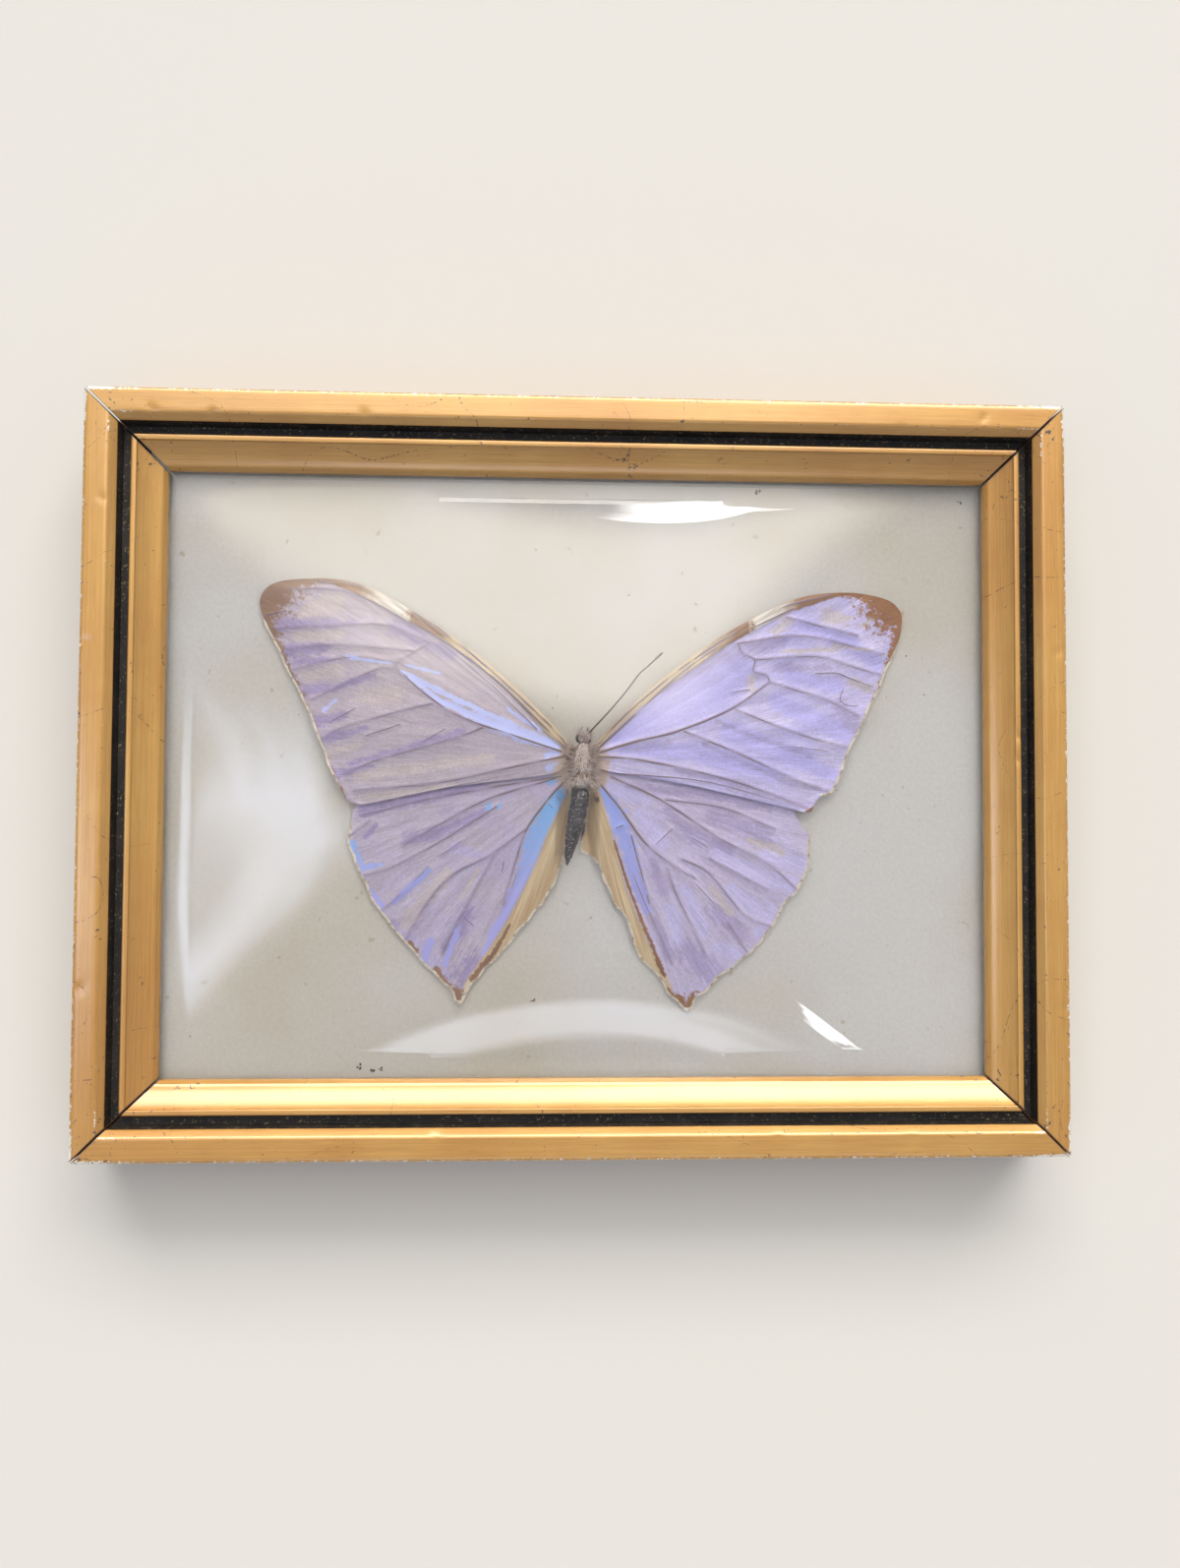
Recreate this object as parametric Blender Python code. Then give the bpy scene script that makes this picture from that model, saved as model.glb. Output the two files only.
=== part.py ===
"""Framed butterfly specimen, lying on its back.

A mitred wood moulding holds, from the front to the back, a clear domed cover, a pale card that carries the
butterfly, and a hardboard back that six brads keep in. A small brass hanger is riveted to the back.

World frame: the origin is the centre of the frame's back plane, +X runs to the butterfly's right-hand picture side,
+Y to the top rail and +Z out of the face. Dimensions below are in millimetres; MM turns them into metres.
"""

import math

import bmesh
import bpy
import numpy as np

MM = 0.001
GAP = 0.3                       # clearance between pieces that touch

# Frame moulding. Distances d run inwards from the frame's outer edge.
FRAME_WIDTH = 140.0
FRAME_HEIGHT = 108.0
FRAME_DEPTH = 14.0
EDGE_RADIUS = 0.7
BAND_END = 3.5                  # the flat gold band ends here and its bevel starts
CHANNEL_START = 4.5
CHANNEL_END = 6.0
CHANNEL_FLOOR = 10.6
BEVEL_FOOT = 13.0
BEAD_RADIUS = 0.42
BEAD_TOP = 12.1
COVE_START = 6.9
COVE_TOP = 11.95
COVE_END = 10.05
COVE_FOOT = 9.65
COVE_SAG = 0.18                 # how far the cove dips below its chord
SIGHT_EDGE = 10.5
SIGHT_EDGE_TOP = 9.1
LIP_UNDERSIDE = 8.4
REBATE = 7.2                    # wood left outside the rebate

# Flat pieces stacked in the rebate, each from its top face down.
PANEL_CLEARANCE = 0.4
COVER_TOP = LIP_UNDERSIDE - GAP
COVER_THICKNESS = 1.2
CARD_TOP = COVER_TOP - COVER_THICKNESS - GAP
CARD_THICKNESS = 1.5
BOARD_TOP = CARD_TOP - CARD_THICKNESS - GAP
BOARD_THICKNESS = 2.4
BOARD_BACK = BOARD_TOP - BOARD_THICKNESS
DOME_HALF_WIDTH = 56.7
DOME_HALF_HEIGHT = 40.7
DOME_RISE = 5.1

# Brads: a thin nail driven level into the rail, its head end left over the board.
BRAD_RADIUS = 0.5
BRAD_HEAD_RADIUS = 0.7
BRAD_LENGTH = 6.0
BRAD_DEPTH_IN_RAIL = 3.5
BRAD_HEIGHT = BOARD_BACK - GAP - BRAD_HEAD_RADIUS
BRAD_SPREAD = 34.0

# Hanger: a stamped strip, flat at its two riveted ends, its middle raised off the board for the wall nail.
HANGER_LENGTH = 30.0
HANGER_HEIGHT = 8.0
HANGER_THICKNESS = 0.6
HANGER_CENTRE_Y = 36.0
HANGER_TOP = BOARD_BACK - GAP
HANGER_RAISE = 1.1              # how far the middle stands nearer the wall than the ends
HANGER_RAISED_HALF = 9.0
HANGER_STEP = 1.2               # run of the slope between the raised middle and an end
TOOTH_PITCH = 2.0
TOOTH_DEPTH = 0.9
RIVET_SPREAD = 12.2
RIVET_RADIUS = 0.6
RIVET_HEAD_RADIUS = 1.3
RIVET_HEAD_HEIGHT = 0.6
RIVET_DEPTH_IN_BOARD = 1.6

# Butterfly
WING_THICKNESS = 0.3
FOREWING_HEIGHT = CARD_TOP + 1.05   # mid-thickness of the flat outer wing, over the hindwing
HINDWING_HEIGHT = CARD_TOP + 0.45
APEX_DROP = 0.5                     # the forewing comes down this far where no hindwing lies under it
ROOT_LIFT = 2.8                     # how much higher the wings stand at the thorax
LIFT_LENGTH = 16.0                  # distance over which that lift falls to about a third
WING_RINGS = (1.0, 0.72, 0.42, 0.18)    # sizes of the rings that a wing's mesh is built on
THORAX_CENTRE = (0.2, 1.0)
BODY_HEIGHT = 9.3
ANTENNA_RADIUS = 0.15
CLUB_SCALE = 1.6

# Wing outlines as runs of (x, y); each run is one smooth curve and the runs meet at corners.
FOREWING_LEFT = (
    [(-2.2, 4.1), (-8.0, 11.4), (-17.1, 19.0), (-25.4, 24.3), (-32.8, 27.7), (-39.0, 28.4), (-44.2, 27.8),
     (-46.4, 25.2)],
    [(-46.4, 25.2), (-45.4, 20.9), (-42.4, 15.0), (-38.9, 8.0), (-36.3, 1.4), (-34.8, -1.6), (-33.4, -3.9)],
    [(-33.4, -3.9), (-24.6, -2.9), (-14.4, -1.2), (-2.3, 0.4)],
)
FOREWING_RIGHT = (
    [(2.6, 4.3), (7.4, 9.9), (16.2, 17.4), (25.1, 23.1), (33.2, 26.7), (39.9, 27.4), (45.1, 26.6),
     (47.6, 24.0)],
    [(47.6, 24.0), (46.7, 18.4), (44.1, 12.7), (41.6, 7.8), (39.6, 3.6), (37.5, -1.8), (33.6, -5.2)],
    [(33.6, -5.2), (27.4, -3.6), (16.5, -1.6), (2.7, 0.4)],
)
HINDWING_LEFT = (
    [(-2.3, -0.6), (-14.0, 1.6), (-27.0, 0.6), (-32.0, -3.4), (-33.5, -8.4), (-32.0, -14.2), (-26.4, -22.9),
     (-20.6, -29.2), (-17.8, -32.7)],
    [(-17.8, -32.7), (-16.2, -31.0), (-12.2, -26.7), (-6.7, -20.3), (-3.6, -14.6), (-2.9, -8.0), (-2.4, -3.0)],
)
HINDWING_RIGHT = (
    [(2.5, -0.8), (14.0, 1.2), (27.0, 0.2), (32.2, -4.4), (34.0, -10.8), (31.4, -17.8), (27.9, -22.8),
     (21.6, -28.4), (15.9, -34.2)],
    [(15.9, -34.2), (12.8, -31.4), (9.8, -27.2), (6.2, -20.3), (3.4, -14.6), (2.4, -8.4), (2.3, -3.2)],
)

# Body stations: (y, centre x, half width, half height), from the tail end to the head end.
THORAX_STATIONS = (
    (-1.55, 0.20, 0.45, 0.70),
    (-0.90, 0.20, 1.05, 1.45),
    (0.30, 0.20, 1.42, 1.95),
    (1.70, 0.25, 1.45, 2.00),
    (3.10, 0.35, 1.20, 1.65),
    (4.10, 0.45, 0.75, 1.10),
    (4.50, 0.50, 0.60, 0.90),
    (4.90, 0.50, 0.92, 1.05),
    (5.50, 0.52, 1.00, 1.05),
    (6.10, 0.55, 0.75, 0.75),
    (6.45, 0.55, 0.30, 0.30),
)
ABDOMEN_STATIONS = (
    (-13.05, -1.82, 0.20, 0.20),
    (-12.20, -1.70, 0.55, 0.55),
    (-10.60, -1.38, 0.85, 0.85),
    (-8.20, -0.90, 1.12, 1.10),
    (-5.60, -0.38, 1.34, 1.30),
    (-3.60, 0.00, 1.30, 1.25),
    (-2.40, 0.20, 0.85, 0.85),
    (-1.95, 0.22, 0.40, 0.40),
)
ANTENNA_POINTS = ((1.35, 6.35, 9.9), (3.0, 8.1, 10.1), (5.6, 10.9, 10.0), (8.9, 14.6, 9.6), (12.0, 18.0, 9.0))


def clear_scene():
    for old in list(bpy.data.objects):
        bpy.data.objects.remove(old, do_unlink=True)


def material(name, colour, roughness, metallic=0.0, transmission=0.0):
    """A Principled material; colour is linear red, green and blue."""
    made = bpy.data.materials.new(name)
    made.use_nodes = True
    shader = made.node_tree.nodes["Principled BSDF"]
    shader.inputs["Base Color"].default_value = (*colour, 1.0)
    shader.inputs["Roughness"].default_value = roughness
    shader.inputs["Metallic"].default_value = metallic
    shader.inputs["Transmission Weight"].default_value = transmission
    return made


def object_from_bmesh(name, shape, finish=None, smooth=False):
    """Turn a bmesh in millimetres into an object in metres, its faces pointing out."""
    bmesh.ops.recalc_face_normals(shape, faces=shape.faces)
    bmesh.ops.scale(shape, vec=(MM, MM, MM), verts=shape.verts)
    mesh = bpy.data.meshes.new(name)
    shape.to_mesh(mesh)
    shape.free()
    if smooth:
        mesh.shade_smooth()
        mesh.set_sharp_from_angle(angle=math.radians(35))
    if finish is not None:
        mesh.materials.append(finish)
    made = bpy.data.objects.new(name, mesh)
    bpy.context.scene.collection.objects.link(made)
    return made


def arc(centre, radius, start, end, steps):
    """Points along an arc, both ends included; the angles are in degrees."""
    angles = np.radians(np.linspace(start, end, steps + 1))
    return [(centre[0] + radius * math.cos(a), centre[1] + radius * math.sin(a)) for a in angles]


def smooth_run(points, steps):
    """A Catmull-Rom curve through the points, with this many steps between each pair, both ends included."""
    p = np.array(points, dtype=float)
    p = np.vstack([2 * p[0] - p[1], p, 2 * p[-1] - p[-2]])
    t = np.linspace(0.0, 1.0, steps, endpoint=False)[:, None]
    spans = [
        0.5 * (2 * b + (c - a) * t + (2 * a - 5 * b + 4 * c - d) * t ** 2 + (3 * b - a - 3 * c + d) * t ** 3)
        for a, b, c, d in zip(p, p[1:], p[2:], p[3:])
    ]
    return np.vstack(spans + [p[-2:-1]])


def ring_solid(rings):
    """Bmesh skin over a list of rings of equal point count, its two ends closed with flat faces."""
    shape = bmesh.new()
    loops = [[shape.verts.new(point) for point in ring] for ring in rings]
    for low, high in zip(loops, loops[1:]):
        for i in range(len(low)):
            j = (i + 1) % len(low)
            shape.faces.new((low[i], low[j], high[j], high[i]))
    shape.faces.new(loops[0])
    shape.faces.new(loops[-1])
    return shape


def slab(name, half_width, half_height, bottom, top, finish):
    """A flat rectangular sheet between two heights."""
    shape = bmesh.new()
    bmesh.ops.create_cube(shape, size=1.0)
    bmesh.ops.scale(shape, vec=(2 * half_width, 2 * half_height, top - bottom), verts=shape.verts)
    bmesh.ops.translate(shape, vec=(0.0, 0.0, (top + bottom) / 2), verts=shape.verts)
    return object_from_bmesh(name, shape, finish)


def turned(name, profile, segments, finish=None):
    """A solid of revolution about local Z from (radius, height) pairs that start and end on the axis."""
    shape = bmesh.new()
    verts = [shape.verts.new((radius, 0.0, height)) for radius, height in profile]
    edges = [shape.edges.new(pair) for pair in zip(verts, verts[1:])]
    bmesh.ops.spin(shape, geom=verts + edges, cent=(0, 0, 0), axis=(0, 0, 1), angle=2 * math.pi,
                   steps=segments, use_merge=True)
    bmesh.ops.remove_doubles(shape, verts=shape.verts, dist=0.001)
    return object_from_bmesh(name, shape, finish, smooth=True)


def cut(target, cutter):
    """Take the cutter's shape out of the target."""
    cutter.hide_render = True
    cutter.display_type = "WIRE"
    change = target.modifiers.new("cut", "BOOLEAN")
    change.operation = "DIFFERENCE"
    change.object = cutter


def place(piece, x, y, z, turn=(0.0, 0.0, 0.0)):
    piece.location = (x * MM, y * MM, z * MM)
    piece.rotation_euler = [math.radians(angle) for angle in turn]


def moulding_section():
    """The moulding's section as (distance in from the outer edge, height) pairs."""
    edge = arc((EDGE_RADIUS, FRAME_DEPTH - EDGE_RADIUS), EDGE_RADIUS, 180, 90, 4)
    band = [(BAND_END, FRAME_DEPTH), (CHANNEL_START, BEVEL_FOOT)]
    channel = [(CHANNEL_START + 0.1, CHANNEL_FLOOR), (CHANNEL_END, CHANNEL_FLOOR)]
    bead = arc((CHANNEL_END + 0.05 + BEAD_RADIUS, BEAD_TOP - BEAD_RADIUS), BEAD_RADIUS, 180, 30, 5)
    along = np.linspace(0.0, 1.0, 5)
    cove = [
        (COVE_START + (COVE_END - COVE_START) * t,
         COVE_TOP + (COVE_FOOT - COVE_TOP) * t - 4 * COVE_SAG * t * (1 - t))
        for t in along
    ]
    lip = [(SIGHT_EDGE, SIGHT_EDGE_TOP), (SIGHT_EDGE, LIP_UNDERSIDE), (REBATE, LIP_UNDERSIDE)]
    back = [(REBATE, 0.0), (0.0, 0.0)]
    return edge + band + channel + bead + cove + lip + back


def make_rail(name, length, reach, turn, finish):
    """One rail with mitred ends. Built as the bottom rail, its outer edge at y = -reach, then turned about Z."""
    section = moulding_section()
    mitre = GAP / 2 * math.sqrt(2)
    rings = []
    for side in (-1, 1):
        rings.append([(side * (length / 2 - mitre - d), d - reach, z) for d, z in section])
    rail = object_from_bmesh(name, ring_solid(rings), finish, smooth=True)
    rail.rotation_euler.z = math.radians(turn)
    return rail


def make_rails():
    gold = material("gold_foil_on_wood", (0.62, 0.42, 0.17), 0.38, metallic=0.6)
    return {
        "bottom": make_rail("rail_bottom", FRAME_WIDTH, FRAME_HEIGHT / 2, 0, gold),
        "right": make_rail("rail_right", FRAME_HEIGHT, FRAME_WIDTH / 2, 90, gold),
        "top": make_rail("rail_top", FRAME_WIDTH, FRAME_HEIGHT / 2, 180, gold),
        "left": make_rail("rail_left", FRAME_HEIGHT, FRAME_WIDTH / 2, 270, gold),
    }


def make_brad(name, rail, x, y, turn, steel):
    """A brad whose local Z runs out of the rail; its rebate wall passes through (x, y)."""
    tip = -BRAD_DEPTH_IN_RAIL
    head = tip + BRAD_LENGTH
    brad = turned(name, [(0.0, tip), (BRAD_RADIUS, tip + 1.0), (BRAD_RADIUS, head - 0.4),
                         (BRAD_HEAD_RADIUS, head - 0.3), (BRAD_HEAD_RADIUS, head), (0.0, head)], 10, steel)
    hole = turned(name + "_hole", [(0.0, tip - GAP), (BRAD_RADIUS + GAP, tip - GAP),
                                   (BRAD_RADIUS + GAP, 2.0), (0.0, 2.0)], 10)
    for piece in (brad, hole):
        place(piece, x, y, BRAD_HEIGHT, (90, 0, turn))
    cut(rail, hole)
    return brad


def make_brads(rails):
    """Two brads in each long rail and one in each short rail, all pointing to the middle of the frame."""
    steel = material("bright_steel", (0.5, 0.5, 0.52), 0.35, metallic=1.0)
    wall_x = FRAME_WIDTH / 2 - REBATE
    wall_y = FRAME_HEIGHT / 2 - REBATE
    for side, x in (("left", -BRAD_SPREAD), ("right", BRAD_SPREAD)):
        make_brad("brad_top_" + side, rails["top"], x, wall_y, 0, steel)
        make_brad("brad_bottom_" + side, rails["bottom"], x, -wall_y, 180, steel)
    make_brad("brad_left", rails["left"], -wall_x, 0.0, 90, steel)
    make_brad("brad_right", rails["right"], wall_x, 0.0, 270, steel)


def dome_height(x, y):
    """Rise of the cover above its flange: a product of two parabolas, nothing outside the footprint."""
    u = np.clip(1 - (x / DOME_HALF_WIDTH) ** 2, 0.0, None)
    v = np.clip(1 - (y / DOME_HALF_HEIGHT) ** 2, 0.0, None)
    return DOME_RISE * u * v


def grid_lines(edge, crease, steps):
    """Grid positions from -edge to edge with the crease on a line."""
    return np.concatenate([[-edge], np.linspace(-crease, crease, steps), [edge]])


def make_cover(half_width, half_height):
    """The clear cover: a grid of heights for its top, the same grid lowered for its underside, and a rim."""
    clear = material("clear_plastic", (0.95, 0.96, 0.95), 0.05, transmission=1.0)
    x_lines = grid_lines(half_width, DOME_HALF_WIDTH, 19)
    y_lines = grid_lines(half_height, DOME_HALF_HEIGHT, 15)
    shape = bmesh.new()
    layers = []
    for base in (COVER_TOP, COVER_TOP - COVER_THICKNESS):
        layers.append([[shape.verts.new((x, y, base + dome_height(x, y))) for x in x_lines] for y in y_lines])
    for layer in layers:
        for j in range(len(y_lines) - 1):
            for i in range(len(x_lines) - 1):
                shape.faces.new((layer[j][i], layer[j][i + 1], layer[j + 1][i + 1], layer[j + 1][i]))
    rims = [edge_loop(layer) for layer in layers]
    for i in range(len(rims[0])):
        j = (i + 1) % len(rims[0])
        shape.faces.new((rims[0][i], rims[0][j], rims[1][j], rims[1][i]))
    return object_from_bmesh("domed_cover", shape, clear, smooth=True)


def edge_loop(layer):
    """The vertices round the border of a grid of rows, in order."""
    right = [row[-1] for row in layer[1:-1]]
    left = [row[0] for row in layer[-2:0:-1]]
    return layer[0] + right + layer[-1][::-1] + left


def make_panels():
    half_width = FRAME_WIDTH / 2 - REBATE - PANEL_CLEARANCE
    half_height = FRAME_HEIGHT / 2 - REBATE - PANEL_CLEARANCE
    make_cover(half_width, half_height)
    card = material("pale_card", (0.66, 0.65, 0.61), 0.9)
    slab("backdrop_card", half_width, half_height, CARD_TOP - CARD_THICKNESS, CARD_TOP, card)
    hardboard = material("hardboard", (0.22, 0.12, 0.06), 0.8)
    return slab("backing_board", half_width, half_height, BOARD_BACK, BOARD_TOP, hardboard)


def hanger_section(x):
    """Low edge, high edge and underside height of the hanger at this distance along it."""
    from_end = HANGER_LENGTH / 2 - abs(x)
    half = HANGER_HEIGHT / 2
    if from_end < half:
        half = math.sqrt(max(half ** 2 - (half - from_end) ** 2, 0.25))
    toothed = abs(x) < HANGER_RAISED_HALF - TOOTH_PITCH / 2
    notch = TOOTH_DEPTH if toothed and round(2 * x / TOOTH_PITCH) % 2 else 0.0
    slope = min(max((abs(x) - HANGER_RAISED_HALF) / HANGER_STEP, 0.0), 1.0)
    return -half + notch, half, HANGER_TOP - HANGER_THICKNESS - HANGER_RAISE * (1.0 - slope)


def make_hanger(board):
    """The sawtooth strip as four-cornered rings along X, and a rivet through each end into the board."""
    brass = material("stamped_brass", (0.65, 0.48, 0.2), 0.35, metallic=1.0)
    half = HANGER_LENGTH / 2
    teeth = np.arange(-HANGER_RAISED_HALF, HANGER_RAISED_HALF + 0.01, TOOTH_PITCH / 2)
    shoulder = HANGER_RAISED_HALF + HANGER_STEP
    right_end = np.array([shoulder, half - 3.0, half - 1.8, half - 0.8, half - 0.2, half])
    rings = []
    for x in np.concatenate([-right_end[::-1], teeth, right_end]):
        low, high, under = hanger_section(x)
        over = under + HANGER_THICKNESS
        rings.append([(x, low, under), (x, high, under), (x, high, over), (x, low, over)])
    hanger = object_from_bmesh("sawtooth_hanger", ring_solid(rings), brass)
    place(hanger, 0.0, HANGER_CENTRE_Y, 0.0)
    for side, x in (("left", -RIVET_SPREAD), ("right", RIVET_SPREAD)):
        make_rivet("hanger_rivet_" + side, x, hanger, board, brass)


def make_rivet(name, x, hanger, board, brass):
    """A domed rivet, its head under the strip, in holes with clearance in the strip and the board."""
    head_top = HANGER_TOP - HANGER_THICKNESS - GAP
    head_low = head_top - RIVET_HEAD_HEIGHT
    shank_top = BOARD_BACK + RIVET_DEPTH_IN_BOARD
    dome = [(RIVET_HEAD_RADIUS * math.sin(a), head_top - RIVET_HEAD_HEIGHT * math.cos(a))
            for a in np.radians([0, 30, 60, 90])]
    rivet = turned(name, dome + [(RIVET_RADIUS, head_top), (RIVET_RADIUS, shank_top), (0.0, shank_top)], 16, brass)
    hole_radius = RIVET_RADIUS + GAP
    hole = turned(name + "_hole", [(0.0, head_low), (hole_radius, head_low), (hole_radius, shank_top + GAP),
                                   (0.0, shank_top + GAP)], 16)
    for piece in (rivet, hole):
        place(piece, x, HANGER_CENTRE_Y, 0.0)
    cut(hanger, hole)
    cut(board, hole)


def wing_height(x, y, base, apex_drop):
    """Mid-thickness height of a wing: flat at its base value, rising towards the thorax."""
    reach = np.hypot(x - THORAX_CENTRE[0], y - THORAX_CENTRE[1])
    ahead = np.clip((y - 5.0) / 9.0, 0.0, 1.0)
    drop = apex_drop * ahead * ahead * (3 - 2 * ahead)
    return base + ROOT_LIFT * np.exp(-reach / LIFT_LENGTH) - drop


def make_wing(name, runs, base, apex_drop, finish):
    """A thin curved sheet: rings shrunk from the outline towards the root, on both faces, joined at the rim."""
    outline = np.vstack([smooth_run(run, 2)[:-1] for run in runs] + [[runs[-1][-1]]])
    root = (outline[0] + outline[-1]) / 2
    shape = bmesh.new()
    faces = []
    for side in (1, -1):
        rings = []
        for scale in WING_RINGS:
            ring = root + (outline - root) * scale
            height = wing_height(ring[:, 0], ring[:, 1], base, apex_drop) + side * WING_THICKNESS / 2
            rings.append([shape.verts.new((x, y, z)) for (x, y), z in zip(ring, height)])
        centre = shape.verts.new((*root, wing_height(*root, base, apex_drop) + side * WING_THICKNESS / 2))
        faces.append((rings, centre))
    count = len(outline)
    for rings, centre in faces:
        for i in range(count - 1):
            for outer, inner in zip(rings, rings[1:]):
                shape.faces.new((outer[i], outer[i + 1], inner[i + 1], inner[i]))
            shape.faces.new((rings[-1][i], rings[-1][i + 1], centre))
    upper, lower = faces[0], faces[1]
    for i in range(count - 1):
        shape.faces.new((upper[0][0][i], upper[0][0][i + 1], lower[0][0][i + 1], lower[0][0][i]))
    for end in (0, -1):
        upper_edge = [ring[end] for ring in upper[0]] + [upper[1]]
        lower_edge = [ring[end] for ring in lower[0]] + [lower[1]]
        for i in range(len(upper_edge) - 1):
            shape.faces.new((upper_edge[i], upper_edge[i + 1], lower_edge[i + 1], lower_edge[i]))
    return object_from_bmesh(name, shape, finish, smooth=True)


def make_wings():
    lilac = material("iridescent_wing", (0.45, 0.38, 0.68), 0.45)
    make_wing("forewing_left", FOREWING_LEFT, FOREWING_HEIGHT, APEX_DROP, lilac)
    make_wing("forewing_right", FOREWING_RIGHT, FOREWING_HEIGHT, APEX_DROP, lilac)
    make_wing("hindwing_left", HINDWING_LEFT, HINDWING_HEIGHT, 0.0, lilac)
    make_wing("hindwing_right", HINDWING_RIGHT, HINDWING_HEIGHT, 0.0, lilac)


def make_body_piece(name, stations, segments, finish):
    """Elliptical rings along Y, one for each station, with rounded ends."""
    angles = np.linspace(0, 2 * math.pi, segments, endpoint=False)
    rings = []
    for y, x, half_width, half_height in stations:
        rings.append([(x + half_width * math.cos(a), y, BODY_HEIGHT + half_height * math.sin(a)) for a in angles])
    return object_from_bmesh(name, ring_solid(rings), finish, smooth=True)


def make_antenna(finish):
    """A thin curved rod with a slightly thicker club at its end."""
    curve = bpy.data.curves.new("antenna_path", "CURVE")
    curve.dimensions = "3D"
    curve.bevel_depth = ANTENNA_RADIUS * MM
    curve.bevel_resolution = 2
    curve.use_fill_caps = True
    path = smooth_run(ANTENNA_POINTS, 4) * MM
    spline = curve.splines.new("POLY")
    spline.points.add(len(path) - 1)
    for i, (point, place_at) in enumerate(zip(spline.points, path)):
        along = i / (len(path) - 1)
        point.co = (*place_at, 1.0)
        point.radius = 1.0 + (CLUB_SCALE - 1.0) * max(0.0, (along - 0.8) / 0.2)
    antenna = bpy.data.objects.new("antenna_right", curve)
    bpy.context.scene.collection.objects.link(antenna)
    curve.materials.append(finish)
    return antenna


def make_butterfly():
    make_wings()
    fur = material("grey_brown_fur", (0.3, 0.25, 0.19), 0.9)
    chitin = material("dark_chitin", (0.03, 0.03, 0.035), 0.45)
    make_body_piece("thorax_and_head", THORAX_STATIONS, 14, fur)
    make_body_piece("abdomen", ABDOMEN_STATIONS, 12, chitin)
    make_antenna(chitin)


def main():
    clear_scene()
    rails = make_rails()
    make_brads(rails)
    board = make_panels()
    make_hanger(board)
    make_butterfly()


main()
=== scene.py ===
# %% [markdown]
# A framed butterfly, built as a lesson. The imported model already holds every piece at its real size. This
# script dresses it: each visible piece is worked out again as a fine surface with numpy, and gets a finish
# made of nodes.

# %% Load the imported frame
import math

import bmesh
import bpy
import numpy as np
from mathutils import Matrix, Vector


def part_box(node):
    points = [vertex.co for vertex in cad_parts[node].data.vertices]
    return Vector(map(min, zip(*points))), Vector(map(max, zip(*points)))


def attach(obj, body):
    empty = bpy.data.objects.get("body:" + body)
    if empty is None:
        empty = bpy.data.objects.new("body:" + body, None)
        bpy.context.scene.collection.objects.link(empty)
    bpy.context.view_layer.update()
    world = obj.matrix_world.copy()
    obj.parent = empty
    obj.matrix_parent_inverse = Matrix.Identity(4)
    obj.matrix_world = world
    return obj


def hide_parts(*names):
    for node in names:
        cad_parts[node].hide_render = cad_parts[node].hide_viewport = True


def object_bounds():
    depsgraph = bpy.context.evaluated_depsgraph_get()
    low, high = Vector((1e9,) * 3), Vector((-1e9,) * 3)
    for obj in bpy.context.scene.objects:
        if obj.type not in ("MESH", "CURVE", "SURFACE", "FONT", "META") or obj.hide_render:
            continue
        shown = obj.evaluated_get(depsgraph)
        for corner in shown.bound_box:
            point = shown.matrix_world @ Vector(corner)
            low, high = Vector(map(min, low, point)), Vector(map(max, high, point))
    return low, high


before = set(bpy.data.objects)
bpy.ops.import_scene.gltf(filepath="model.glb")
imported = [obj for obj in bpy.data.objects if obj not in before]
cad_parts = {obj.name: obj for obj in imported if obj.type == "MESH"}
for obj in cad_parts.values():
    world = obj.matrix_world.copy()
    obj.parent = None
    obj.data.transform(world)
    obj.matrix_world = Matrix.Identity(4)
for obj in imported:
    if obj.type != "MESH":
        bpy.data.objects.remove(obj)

CAD_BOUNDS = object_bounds()
MM = 0.001
print("nodes:", len(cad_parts), "bounds:", CAD_BOUNDS)

# %% [markdown]
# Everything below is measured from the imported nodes, in millimetres: the frame's outer size, the card that
# the insect lies on, and the clear cover over it.

# %% Read the driving sizes from the frame


def box_mm(node):
    """Lowest and highest corner of a CAD node, in millimetres."""
    low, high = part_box(node)
    return np.array(low) / MM, np.array(high) / MM


WIDTH = (CAD_BOUNDS[1][0] - CAD_BOUNDS[0][0]) / MM
HEIGHT = (CAD_BOUNDS[1][1] - CAD_BOUNDS[0][1]) / MM
DEPTH = (CAD_BOUNDS[1][2] - CAD_BOUNDS[0][2]) / MM
COVER_LOW, COVER_HIGH = box_mm("domed_cover")
CARD_TOP = box_mm("backdrop_card")[1][2]
THORAX_LOW, THORAX_HIGH = box_mm("thorax_and_head")
print("frame", WIDTH, HEIGHT, DEPTH, "card top", CARD_TOP)

# %% [markdown]
# Colours are written as sRGB hex, as a painter would pick them from a chart, and one function makes them
# linear, which is what the renderer works in. One small function adds any node, sets it up and links it. A
# finish is built as it would be painted: a base colour, and coats laid over it one by one.

# %% Colour and node helpers
EASE = {"interpolation_type": "SMOOTHSTEP"}     # for a MapRange that rises in an even S-shape


def linear(hex_colour):
    """sRGB hex to linear red, green, blue and a full alpha."""
    value = np.array([int(hex_colour[i:i + 2], 16) for i in (1, 3, 5)]) / 255
    low = value / 12.92
    high = ((value + 0.055) / 1.055) ** 2.4
    return (*np.where(value <= 0.04045, low, high).tolist(), 1.0)


def fill(tree, node, inputs):
    """Fill a node's sockets by name or number: nodes and sockets are linked, colours and numbers are set."""
    for key, value in inputs.items():
        if isinstance(value, bpy.types.Node):
            value = value.outputs[0]
        if isinstance(value, bpy.types.NodeSocket):
            tree.links.new(value, node.inputs[key])
        else:
            node.inputs[key].default_value = linear(value) if isinstance(value, str) else value


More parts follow.
